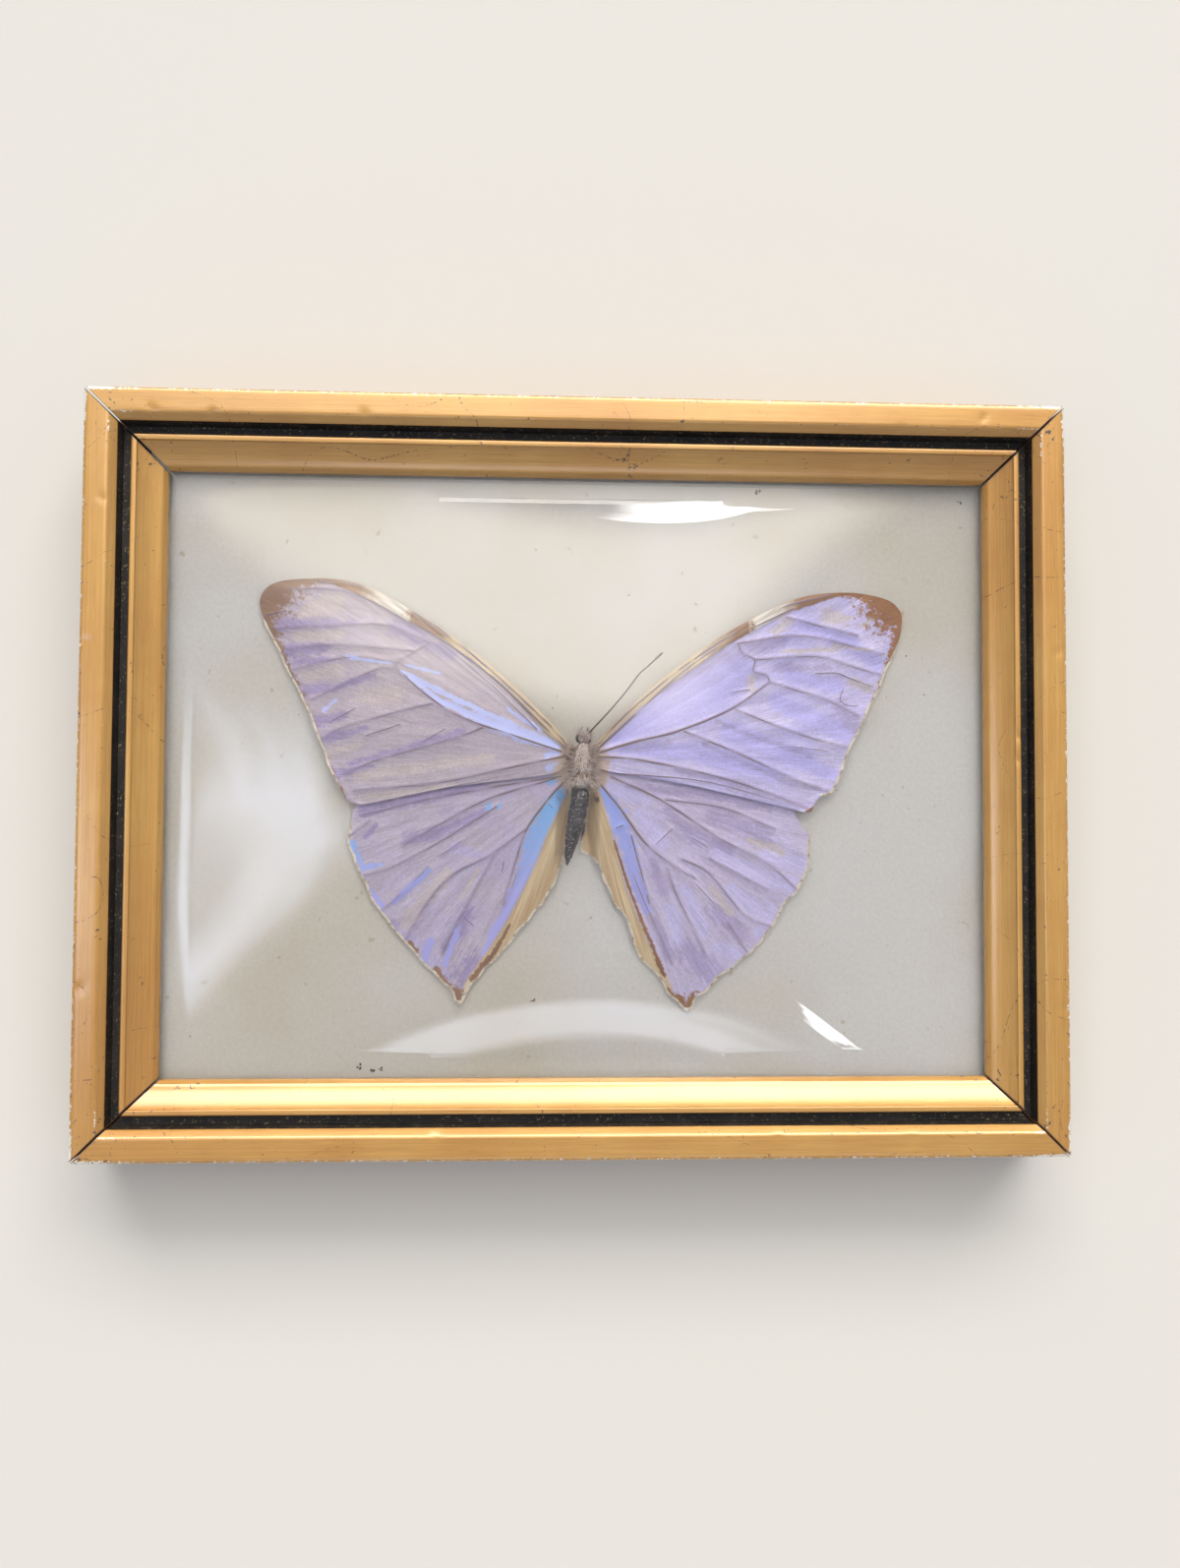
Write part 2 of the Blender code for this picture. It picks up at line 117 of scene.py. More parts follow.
def add(tree, kind, inputs=None, stops=None, **settings):
    """Add a node, with its settings and what fills its sockets; stops are the places on a colour ramp."""
    made = tree.nodes.new("ShaderNode" + kind)
    for key, value in settings.items():
        setattr(made, key, value)
    fill(tree, made, inputs or {})
    for i, (place, colour) in enumerate(stops or []):
        ramp = made.color_ramp.elements
        stop = ramp[i] if i < 2 else ramp.new(place)
        stop.position = place
        stop.color = linear(colour) if isinstance(colour, str) else (colour, colour, colour, 1.0)
    return made


def coats(tree, tone, *layers):
    """Lay coats over a base colour, lowest first: each is (how much, colour), and may name its blend type."""
    for amount, colour, *named in layers:
        blend = named[0] if named else "MIX"
        mixed = add(tree, "Mix", {0: amount, 6: tone, 7: colour}, data_type="RGBA", blend_type=blend)
        tone = mixed.outputs[2]
    return tone


def finish(name):
    """A new material with its node tree, its Principled shader, and Object coordinates in millimetres."""
    made = bpy.data.materials.new(name)
    made.use_nodes = True
    tree = made.node_tree
    coords = add(tree, "TexCoord").outputs["Object"]
    millimetres = add(tree, "VectorMath", {0: coords, 1: (1 / MM,) * 3}, operation="MULTIPLY")
    return made, tree, tree.nodes["Principled BSDF"], millimetres


print("mid grey in linear light:", round(linear("#808080")[0], 3))

# %% [markdown]
# A surface is a grid of points. These helpers number the grid's squares, turn points into a mesh, and hang
# extra values on the points, such as the distance from a wing's edge, for the material to read later.

# %% Surface helpers


def grid(rows, columns, wrap_columns=False):
    """Corner numbers of every square in a grid of points; wrap joins the last column to the first."""
    across = columns if wrap_columns else columns - 1
    r, c = np.meshgrid(np.arange(rows - 1), np.arange(across), indexing="ij")
    c2 = (c + 1) % columns
    corners = [r * columns + c, r * columns + c2, (r + 1) * columns + c2, (r + 1) * columns + c]
    return np.stack(corners, axis=-1).reshape(-1, 4)


def border_of(rows, columns):
    """Numbers of the points round a grid's border, walked once."""
    order = np.arange(rows * columns).reshape(rows, columns)
    return np.concatenate([order[0, :-1], order[:-1, -1], order[-1, :0:-1], order[:0:-1, 0]])


def sheet(upper, lower):
    """One closed skin from two equal grids of points: both faces, and a rim that joins their borders."""
    rows, columns = upper.shape[:2]
    count = rows * columns
    quads = grid(rows, columns)
    border = border_of(rows, columns)
    after = np.roll(border, -1)
    rim = np.stack([border, border + count, after + count, after], axis=1)
    points = np.concatenate([upper.reshape(-1, 3), lower.reshape(-1, 3)])
    return points, np.concatenate([quads, quads[:, ::-1] + count, rim])


def ends_of(rows, sides):
    """Point numbers of the first and last ring of a tube, for closing its ends."""
    return [list(range(sides)), list(range((rows - 1) * sides, rows * sides))[::-1]]


def volume(points, faces):
    """Signed volume under the faces: a sum of a . (b x c) / 6 over the two triangles of every square."""
    a, b, c, d = (points[faces[:, i]] for i in range(4))
    six_volumes = np.einsum("ij,ij->i", a, np.cross(b, c)) + np.einsum("ij,ij->i", a, np.cross(c, d))
    return float(six_volumes.sum() / 6)


def piece(name, points, faces, finishes, slot, replaces=(), caps=(), uv=None, values=None, finish_of=None,
          crease=40.0, flip=True):
    """Make a mesh object from points in millimetres, turn its faces outwards, and put it on the frame."""
    points = points.reshape(-1, 3)
    if flip and volume(points, faces) < 0:
        faces = faces[:, ::-1]
        caps = [cap[::-1] for cap in caps]
    mesh = bpy.data.meshes.new(name)
    mesh.from_pydata((points * MM).tolist(), [], faces.tolist() + [list(map(int, cap)) for cap in caps])
    corners = np.empty(len(mesh.loops), dtype=np.int32)
    mesh.loops.foreach_get("vertex_index", corners)
    if uv is not None:
        per_corner = uv.reshape(-1, 2)[corners].astype(np.float32)
        mesh.uv_layers.new(name="surface").data.foreach_set("uv", per_corner.ravel())
    for key, value in (values or {}).items():
        carried = mesh.attributes.new(key, "FLOAT", "POINT")
        carried.data.foreach_set("value", value.astype(np.float32).ravel())
    for one in finishes:
        mesh.materials.append(one)
    if finish_of is not None:
        every = np.concatenate([finish_of, np.full(len(caps), finish_of.max())])
        mesh.polygons.foreach_set("material_index", every.astype(np.int32))
    mesh.shade_smooth()
    mesh.set_sharp_from_angle(angle=math.radians(crease))
    made = bpy.data.objects.new(name, mesh)
    bpy.context.scene.collection.objects.link(made)
    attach(made, "root")
    if replaces:
        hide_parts(*replaces)
    print(name, len(points), "points")
    return made


def ring_piece(name, rings, finishes, slot, **more):
    """A piece from rows of rings, each one closed ring of points, with both its ends capped."""
    rows, sides = rings.shape[:2]
    return piece(name, rings, grid(rows, sides, wrap_columns=True), finishes, slot, caps=ends_of(rows, sides),
                 **more)


def curve_through(points, steps):
    """Catmull-Rom curve through the points, both ends included, with this many steps between each pair."""
    p = np.array(points, dtype=float)
    p = np.vstack([2 * p[0] - p[1], p, 2 * p[-1] - p[-2]])
    t = np.linspace(0, 1, steps, endpoint=False)[:, None]
    spans = [0.5 * (2 * b + (c - a) * t + (2 * a - 5 * b + 4 * c - d) * t ** 2
                    + (3 * b - a - 3 * c + d) * t ** 3) for a, b, c, d in zip(p, p[1:], p[2:], p[3:])]
    return np.vstack(spans + [p[-2:-1]])


def evenly(path, count):
    """The path walked again in equal steps."""
    walked = np.concatenate([[0], np.cumsum(np.linalg.norm(np.diff(path, axis=0), axis=1))])
    at = np.linspace(0, walked[-1], count)
    return np.stack([np.interp(at, walked, path[:, i]) for i in range(path.shape[1])], axis=1)


def distance_to(points, path):
    """Distance from every point to a bent line, taken segment by segment as a point-to-segment distance."""
    best = np.full(points.shape[0], np.inf)
    for a, b in zip(path, path[1:]):
        along = b - a
        t = np.clip(((points - a) @ along) / max(along @ along, 1e-9), 0, 1)
        best = np.minimum(best, np.linalg.norm(points - a - t[:, None] * along, axis=1))
    return best


def smoothstep(low, high, value):
    """0 below low, 1 above high, and an even S-shaped rise between them."""
    t = np.clip((value - low) / (high - low), 0, 1)
    return t * t * (3 - 2 * t)


print("squares in a 3 by 3 grid of points:", len(grid(3, 3)))

# %% [markdown]
# The moulding is a wood strip with gold foil pressed over its show faces, a black channel, a narrow bead and
# a hollow cove. Its section is a list of corners, each with its own small radius, and a rail is that section
# carried along a straight path. At a mitre every line of the section stops where the 45-degree cut meets it.

# %% Section of the moulding
SECTION = [                     # distance in from the outer edge, height, corner radius
    (0.0, 0.0, 0.1), (0.0, DEPTH, 0.7), (3.5, DEPTH, 0.3), (4.5, 13.0, 0.12), (4.6, 10.6, 0.12),
    (6.02, 10.6, 0.12), (6.05, 12.14, 0.36), (6.88, 12.1, 0.34), (6.94, 11.8, 0.05)]
COVE_START, COVE_END = (6.98, 11.75), (10.0, 9.68)
COVE_DIP = 0.2                  # how far the cove sinks under a straight line from its start to its end
LIP = [(10.12, 9.5, 0.15), (10.5, 9.05, 0.15), (10.5, 8.4, 0.1), (7.2, 8.4, 0.05), (7.2, 0.0, 0.15)]
FINEST_STEP = 0.55              # longest step between two points, along a rail and round its section


def rounded(corners, steps):
    """Open line through the corners, each replaced by a short curve that starts and ends its radius away."""
    line = []
    for before, (x, y, radius), after in zip([None] + corners[:-1], corners, corners[1:] + [None]):
        here = np.array([x, y])
        if before is None or after is None:
            line.append(here[None])
            continue
        inward, outward = np.array(before[:2]) - here, np.array(after[:2]) - here
        reach = min(radius, np.linalg.norm(inward) * 0.45, np.linalg.norm(outward) * 0.45)
        start = here + inward / np.linalg.norm(inward) * reach
        end = here + outward / np.linalg.norm(outward) * reach
        t = np.linspace(0, 1, steps)[:, None]
        line.append((1 - t) ** 2 * start + 2 * t * (1 - t) * here + t ** 2 * end)
    return np.vstack(line)


def refined(line, longest):
    """The line with extra points, so that no step is longer than the limit."""
    spans = [np.linspace(a, b, max(2, int(np.linalg.norm(b - a) / longest) + 2))[:-1]
             for a, b in zip(line, line[1:])]
    return np.vstack(spans + [line[-1:]])


t = np.linspace(0, 1, 9)[:, None]
cove_line = (1 - t) * np.array(COVE_START) + t * np.array(COVE_END)
cove_line[:, 1] -= 4 * COVE_DIP * (t * (1 - t))[:, 0]
show_line = rounded(SECTION + [(*COVE_START, 0.0)], 6)
back_line = rounded([(*COVE_END, 0.0)] + LIP + [SECTION[0]], 4)
section = refined(np.vstack([show_line, cove_line[1:-1], back_line[:-1]]), FINEST_STEP)
print("section points:", len(section))

# %% [markdown]
# The foil, the black paint and the bare wood are three finishes on one rail. Each strip of the section is one
# or another of them, so the mesh only has to say which. Small knocks are pressed into the show faces, each a
# round dent with a soft edge.

# %% Shape of the four rails
MITRE = 0.15 * math.sqrt(2)     # half the gap between two rails, measured along them
SHOW_HEIGHT = 8.5               # every face above this height shows from the front
PATTERN_SHIFT = 200.0           # each rail reads its own stretch of the foil's pattern
DENTS = {                       # along the rail from its middle, distance in, radius, depth
    "rail_top": [(-58.0, 2.2, 0.5, 0.12), (-46.0, 3.9, 0.5, 0.18), (31.0, 3.3, 0.7, 0.15),
                 (52.0, 3.6, 0.5, 0.2), (60.5, 3.2, 0.6, 0.15)],
    "rail_bottom": [(-52.0, 1.0, 0.7, 0.2), (-20.0, 3.4, 0.6, 0.15), (28.0, 3.2, 0.5, 0.15),
                    (47.0, 2.6, 0.9, 0.15)],
    "rail_left": [(30.0, 1.1, 0.6, 0.15), (-18.0, 0.9, 0.5, 0.15), (-38.0, 3.0, 0.5, 0.12)],
    "rail_right": [(6.0, 6.4, 0.6, 0.25), (2.5, 6.5, 0.5, 0.2), (18.0, 1.2, 0.5, 0.15),
                   (-33.0, 0.9, 0.6, 0.2)],
}
RAILS = (("rail_bottom", WIDTH, HEIGHT / 2, 0), ("rail_right", HEIGHT, WIDTH / 2, 90),
         ("rail_top", WIDTH, HEIGHT / 2, 180), ("rail_left", HEIGHT, WIDTH / 2, 270))


def rail_surface(name, length, reach, turn):
    """Grid of section points by stations. At distance d in, a line runs L/2 - d each way, mitre to mitre."""
    stations = np.linspace(-1, 1, int(length / FINEST_STEP))
    d, z = section[:, 0], section[:, 1]
    half = length / 2 - MITRE - d
    along = stations[:, None] * half[None, :]
    depth_in = np.broadcast_to(d, along.shape)
    height = np.broadcast_to(z, along.shape).copy()
    for x, at, radius, deep in DENTS[name]:
        away = np.hypot(along - x, depth_in - at)
        height -= deep * np.exp(-(away / radius) ** 2) * (height > SHOW_HEIGHT)
    a = math.radians(turn)
    local_y = depth_in - reach
    points = np.stack([along * math.cos(a) - local_y * math.sin(a),
                       along * math.sin(a) + local_y * math.cos(a), height], axis=-1)
    walked = np.concatenate([[0], np.cumsum(np.linalg.norm(np.diff(section, axis=0), axis=1))])
    uv = np.stack([along + PATTERN_SHIFT * turn / 90, np.broadcast_to(walked, along.shape)], axis=-1)
    from_outer_arris = np.hypot(d - 0.25, z - DEPTH + 0.25)
    from_inner_arris = np.hypot(d - 3.6, z - DEPTH + 0.05) + 0.3
    marks = {"mitre": half[None, :] * (1 - np.abs(stations))[:, None],
             "arris": np.minimum(from_outer_arris, from_inner_arris) * np.ones(along.shape)}
    return points, uv, marks


def rail_finish():
    """0 gold foil, 1 black channel, 2 bare wood, for each strip between two points of the section."""
    middle = (section + np.roll(section, -1, axis=0)) / 2
    d, z = middle[:, 0], middle[:, 1]
    in_channel = (d > 4.5) & (d < 6.06) & (z > 9) & (z < 12.85)
    behind_lip = (d > 7.15) & (z < 8.45)
    under_rail = z < 0.05
    return np.where(in_channel, 1, np.where(behind_lip | under_rail, 2, 0))


print("strips of foil, paint and wood:", np.bincount(rail_finish()))

# %% [markdown]
# Gold foil is a hot-pressed metal film, brushed along the rail under a thin lacquer. It could be a plain
# metal, but old foil is half paint to the eye, so it is a part-metal colour under a clear coat. The wear
# follows values that the mesh carries: the distance from an arris, and the distance from a mitre.

# %% Finishes of the moulding


def gold_foil():
    """Hot-pressed gold foil: long fine streaks and a satin shine, with tarnish, chips and rubbed arrises."""
    made, tree, shader, mm = finish("hot_pressed_gold_foil")
    surface = add(tree, "UVMap", uv_map="surface").outputs[0]
    streaks = add(tree, "Mapping", {"Vector": surface, "Scale": (0.05, 3.5, 1.0)})
    hairlines = add(tree, "Mapping", {"Vector": surface, "Scale": (0.3, 14.0, 1.0)})
    brushed = add(tree, "TexNoise", {"Vector": streaks, "Scale": 1.0, "Detail": 4.0, "Roughness": 0.65})
    hair = add(tree, "TexNoise", {"Vector": hairlines, "Scale": 1.0, "Detail": 2.0})
    patches = add(tree, "TexNoise", {"Vector": mm, "Scale": 0.045, "Detail": 3.0, "Roughness": 0.6})
    grit = add(tree, "TexNoise", {"Vector": mm, "Scale": 1.7, "Detail": 4.0, "Roughness": 0.75})
    scuffs = add(tree, "TexNoise", {"Vector": surface, "Scale": 0.9, "Detail": 3.0, "Roughness": 0.7,
                                    "Distortion": 1.2})
    contour = add(tree, "TexNoise", {"Vector": mm, "Scale": 0.07, "Detail": 0.0})
    from_arris = add(tree, "Attribute", attribute_name="arris").outputs["Fac"]
    from_mitre = add(tree, "Attribute", attribute_name="mitre").outputs["Fac"]

    gold = add(tree, "ValToRGB", {"Fac": brushed}, stops=[(0.3, "#B8863A"), (0.7, "#C99B4C")])
    tarnish = add(tree, "ValToRGB", {"Fac": patches}, stops=[(0.36, "#F3E8D4"), (0.6, "#FFFFFF")])
    fine = add(tree, "MapRange", {"Value": hair, "From Min": 0.3, "From Max": 0.7, "To Min": 0.88,
                                  "To Max": 1.07})
    near_arris = add(tree, "MapRange", {"Value": from_arris, "From Min": 0.9, "From Max": 0.1}, **EASE)
    near_mitre = add(tree, "MapRange", {"Value": from_mitre, "From Min": 9.0, "From Max": 0.0}, **EASE)
    at_corner = add(tree, "Math", {0: near_mitre, 1: near_arris}, operation="MULTIPLY")
    rub = add(tree, "Math", {0: near_arris, 1: 0.42, 2: grit}, operation="MULTIPLY_ADD")
    rub = add(tree, "Math", {0: at_corner, 1: 0.22, 2: rub}, operation="MULTIPLY_ADD")
    rubbed = add(tree, "MapRange", {"Value": rub, "From Min": 0.93, "From Max": 1.05}, **EASE)
    chip = add(tree, "Math", {0: near_mitre, 1: 0.05, 2: scuffs}, operation="MULTIPLY_ADD")
    chip = add(tree, "Math", {0: near_arris, 1: 0.05, 2: chip}, operation="MULTIPLY_ADD")
    chipped = add(tree, "MapRange", {"Value": chip, "From Min": 0.685, "From Max": 0.71}, **EASE)
    seam = add(tree, "MapRange", {"Value": from_mitre, "From Min": 0.17, "From Max": 0.04}, **EASE)
    # A scratch runs where a broad noise crosses its middle value, and the grit breaks it up.
    off_line = add(tree, "Math", {0: contour, 1: 0.5}, operation="SUBTRACT")
    off_line = add(tree, "Math", {0: off_line}, operation="ABSOLUTE")
    on_line = add(tree, "MapRange", {"Value": off_line, "From Min": 0.0026, "From Max": 0.0010}, **EASE)
    broken = add(tree, "MapRange", {"Value": grit, "From Min": 0.50, "From Max": 0.56}, **EASE)
    scratched = add(tree, "Math", {0: on_line, 1: broken}, operation="MULTIPLY")
    tone = coats(tree, gold, (1.0, tarnish, "MULTIPLY"), (1.0, fine, "MULTIPLY"), (rubbed, "#E9E2D6"),
                 (chipped, "#3E2A1A"), (seam, "#4A3420"), (scratched, "#5C4020"))
    bare = add(tree, "Math", {0: chipped, 1: seam}, operation="MAXIMUM")
    metal = add(tree, "MapRange", {"Value": bare, "To Min": 0.42, "To Max": 0.0})
    rough = add(tree, "MapRange", {"Value": brushed, "To Min": 0.32, "To Max": 0.5})
    bump = add(tree, "Bump", {"Height": hair, "Strength": 0.35, "Distance": 0.00004})
    fill(tree, shader, {"Base Color": tone, "Roughness": rough, "Metallic": metal, "Normal": bump,
                        "Coat Weight": 1.0, "Coat Roughness": 0.2, "Coat IOR": 1.7})
    return made


def channel_paint():
    """Brushed-in matt black paint: a dull groove, with dust in it and gold crumbs rubbed off the bead."""
    made, tree, shader, mm = finish("matt_black_paint")
    specks = add(tree, "TexNoise", {"Vector": mm, "Scale": 2.6, "Detail": 4.0, "Roughness": 0.7})
    dust = add(tree, "TexNoise", {"Vector": mm, "Scale": 0.25, "Detail": 3.0})
    black = add(tree, "ValToRGB", {"Fac": dust}, stops=[(0.4, "#14100E"), (0.75, "#2C2521")])
    crumbs = add(tree, "ValToRGB", {"Fac": specks}, stops=[(0.6, 0.0), (0.68, 1.0)])
    bump = add(tree, "Bump", {"Height": specks, "Strength": 0.4, "Distance": 0.00008})
    fill(tree, shader, {"Base Color": coats(tree, black, (crumbs, "#A08A66")), "Roughness": 0.62,
                        "Normal": bump})
    return made


def bare_wood():
    """Sawn softwood: matt and straw-coloured, with straight grain lines along the rail."""
    made, tree, shader, _ = finish("bare_softwood")
    surface = add(tree, "UVMap", uv_map="surface")
    grain = add(tree, "Mapping", {"Vector": surface, "Scale": (0.05, 1.6, 1.0)})
    lines = add(tree, "TexNoise", {"Vector": grain, "Scale": 1.0, "Detail": 6.0, "Distortion": 0.4})
    tone = add(tree, "ValToRGB", {"Fac": lines}, stops=[(0.35, "#A9804F"), (0.65, "#D9B888")])
    fill(tree, shader, {"Base Color": tone, "Roughness": 0.75})
    return made


RAIL_FINISHES = [gold_foil(), channel_paint(), bare_wood()]
for name, length, reach, turn in RAILS:
    points, uv, marks = rail_surface(name, length, reach, turn)
    ring_piece(name + "_moulding", points, RAIL_FINISHES, "gold_moulding", replaces=(name,), uv=uv,
               values=marks, finish_of=np.tile(rail_finish(), len(points) - 1))

# %% [markdown]
# The clear cover is a thin moulded sheet. Its height over the card is a product of two parabolas, zero
# outside a rectangle, so it meets its flat flange in a crisp crease. The same grid is used for both faces,
# one of them lower.

# %% Make the domed cover
DOME_HALF = (56.7, 40.7)
COVER_THICKNESS = 1.2
DOME_RISE = COVER_HIGH[2] - (COVER_LOW[2] + COVER_THICKNESS)
DOME_LINES = (121, 91)          # grid lines across and up the dome


def dome(x, y):
    """Rise above the flange: rise * (1 - (x/a)^2) * (1 - (y/b)^2), and nothing outside the rectangle."""
    across = np.clip(1 - (x / DOME_HALF[0]) ** 2, 0, None)
    up = np.clip(1 - (y / DOME_HALF[1]) ** 2, 0, None)
    return DOME_RISE * across * up


def clear_plastic():
    """Clear moulded plastic: colourless, as smooth as its mould, and bright only where it reflects."""
    made, tree, shader, _ = finish("clear_moulded_plastic")
    fill(tree, shader, {"Base Color": "#FFFFFF", "Roughness": 0.0, "IOR": 1.49, "Transmission Weight": 1.0})
    return made


def cover_lines(edge, crease, steps):
    """Grid lines over the flange and the dome, with one on each crease."""
    flange = np.linspace(crease, edge, 5)[1:]
    return np.concatenate([-flange[::-1], np.linspace(-crease, crease, steps), flange])


x, y = np.meshgrid(*(cover_lines(COVER_HIGH[i], DOME_HALF[i], DOME_LINES[i]) for i in (0, 1)))
top = np.stack([x, y, COVER_LOW[2] + COVER_THICKNESS + dome(x, y)], axis=-1)
points, faces = sheet(top, top - np.array([0, 0, COVER_THICKNESS]))
piece("domed_cover_sheet", points, faces, [clear_plastic()], "clear_cover", replaces=("domed_cover",),
      crease=12.0)

# %% [markdown]
# The card is mount board. It stays as packed, and its finish carries the fibres, a faint yellowing and a few
# tiny stains. They need no geometry, because the fibres lie flat and their relief is too low to see.

# %% Finish of the card


def mount_board():
    """Pressed paper board, matt: fine fibres, a faint yellowing in broad clouds, and a few tiny stains."""
    made, tree, shader, mm = finish("matt_mount_board")
    fibre = add(tree, "TexNoise", {"Vector": mm, "Scale": 1.8, "Detail": 4.0, "Roughness": 0.75})
    cloud = add(tree, "TexNoise", {"Vector": mm, "Scale": 0.03, "Detail": 3.0})
    spots = add(tree, "TexNoise", {"Vector": mm, "Scale": 0.55, "Detail": 2.0, "Roughness": 0.4})
    paper = add(tree, "ValToRGB", {"Fac": fibre}, stops=[(0.3, "#D7D5D3"), (0.7, "#E3E1DF")])
    aged = add(tree, "ValToRGB", {"Fac": cloud}, stops=[(0.35, "#F4EEDF"), (0.65, "#FFFFFF")])
    stain = add(tree, "MapRange", {"Value": spots, "From Min": 0.735, "From Max": 0.78, "To Max": 0.5})
    tone = coats(tree, paper, (1.0, aged, "MULTIPLY"), (stain, "#B09A78"))
    bump = add(tree, "Bump", {"Height": fibre, "Strength": 0.12, "Distance": 0.00003})
    fill(tree, shader, {"Base Color": tone, "Roughness": 0.9, "Normal": bump})
    return made


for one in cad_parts["backdrop_card"].material_slots:
    one.material = mount_board()
    print("card finish:", one.material.name)

# %% [markdown]
# The back is closed with hardboard, pressed from wood fibre on a wire screen, so its rough side has a waffle
# of small pits. The pits are real relief here. A real screen has a pitch of about 1.3 mm; it is drawn at
# 2 mm, the finest that keeps the mesh light.

# %% Backing board
BOARD_LOW, BOARD_HIGH = box_mm("backing_board")
SCREEN_PITCH = 2.0
PIT_DEPTH = 0.14
STEPS_IN_A_PIT = 5


def hardboard():
    """Pressed fibre board: dark brown, matt and mottled, with fibres that run every way."""
    made, tree, shader, mm = finish("pressed_fibre_board")
    fibre = add(tree, "TexNoise", {"Vector": mm, "Scale": 1.3, "Detail": 6.0, "Roughness": 0.75,
                                   "Distortion": 1.5})
    cloud = add(tree, "TexNoise", {"Vector": mm, "Scale": 0.06, "Detail": 4.0})
    brown = add(tree, "ValToRGB", {"Fac": fibre}, stops=[(0.3, "#4F3624"), (0.7, "#8A6748")])
    age = add(tree, "ValToRGB", {"Fac": cloud}, stops=[(0.35, "#C9BBAA"), (0.65, "#FFFFFF")])
    bump = add(tree, "Bump", {"Height": fibre, "Strength": 0.6, "Distance": 0.0001})
    fill(tree, shader, {"Base Color": coats(tree, brown, (1.0, age, "MULTIPLY")), "Roughness": 0.85,
                        "Normal": bump})
    return made


def screen_lines(low, high):
    """Grid lines a fifth of the pitch apart, with the last one on the board's edge."""
    return np.append(np.arange(low, high, SCREEN_PITCH / STEPS_IN_A_PIT)[:-1], high)


x, y = np.meshgrid(screen_lines(BOARD_LOW[0], BOARD_HIGH[0]), screen_lines(BOARD_LOW[1], BOARD_HIGH[1]))
# Depth of a pit: (1 + cos over the pitch in x) times the same in y, over 4.
pits = (1 + np.cos(2 * np.pi * x / SCREEN_PITCH)) * (1 + np.cos(2 * np.pi * y / SCREEN_PITCH)) / 4
screen_side = np.stack([x, y, BOARD_LOW[2] + PIT_DEPTH * pits], axis=-1).reshape(-1, 3)
border = border_of(*x.shape)
front = screen_side[border]
front[:, 2] = BOARD_HIGH[2]
ring = x.size + np.arange(len(border))
rim = np.stack([border, ring, np.roll(ring, -1), np.roll(border, -1)], axis=1)
piece("backing_board_screened", np.vstack([screen_side, front]), np.vstack([grid(*x.shape), rim])[:, ::-1],
      [hardboard()], "hardboard", replaces=("backing_board",), caps=[ring.tolist()], flip=False)

# %% [markdown]
# The brads, the rivets and the hanger are stamped or drawn metal. Brads and rivets are turned shapes: a
# profile of (distance along the axis, radius) spun round.

# %% Brads and rivets
SIDES = 32


def drawn_steel():
    """Drawn steel wire: grey and bright, with brown rust in spots that turn it dull and rough."""
    made, tree, shader, mm = finish("drawn_steel_wire")
    rust = add(tree, "TexNoise", {"Vector": mm, "Scale": 1.6, "Detail": 5.0, "Roughness": 0.7})
    tone = add(tree, "ValToRGB", {"Fac": rust}, stops=[(0.5, "#A9A9AC"), (0.68, "#7A5A44")])
    rough = add(tree, "MapRange", {"Value": rust, "From Min": 0.4, "From Max": 0.7, "To Min": 0.3,
                                   "To Max": 0.7})
    metal = add(tree, "MapRange", {"Value": rust, "From Min": 0.58, "From Max": 0.7, "To Min": 1.0,
                                   "To Max": 0.2})
    bump = add(tree, "Bump", {"Height": rust, "Strength": 0.3, "Distance": 0.00005})
    fill(tree, shader, {"Base Color": tone, "Roughness": rough, "Metallic": metal, "Normal": bump})
    return made


def stamped_brass():
    """Rolled brass strip: yellow metal with fine rolling lines along it, browned in cloudy patches."""
    made, tree, shader, mm = finish("stamped_brass")
    drawn = add(tree, "Mapping", {"Vector": mm, "Scale": (0.15, 3.0, 3.0)})
    lines = add(tree, "TexNoise", {"Vector": drawn, "Scale": 1.0, "Detail": 4.0, "Roughness": 0.6})
    dull = add(tree, "TexNoise", {"Vector": mm, "Scale": 0.35, "Detail": 5.0, "Roughness": 0.65})
    tone = add(tree, "ValToRGB", {"Fac": dull}, stops=[(0.36, "#8A6A35"), (0.6, "#C9A55B")])
    rough = add(tree, "MapRange", {"Value": lines, "To Min": 0.25, "To Max": 0.5})
    bump = add(tree, "Bump", {"Height": lines, "Strength": 0.25, "Distance": 0.00004})
    fill(tree, shader, {"Base Color": tone, "Roughness": rough, "Metallic": 1.0, "Normal": bump})
    return made


def spun(profile, start, axis):
    """Rings of a turned shape: start + axis * distance + radius * (cos a p + sin a q), square to axis."""
    p = np.roll(np.abs(axis), 1)
    q = np.cross(axis, p)
    profile = np.array(profile)
    a = np.linspace(0, 2 * np.pi, SIDES, endpoint=False)[None, :, None]
    ring = np.cos(a) * p + np.sin(a) * q
    return start + profile[:, 0][:, None, None] * axis + profile[:, 1][:, None, None] * ring


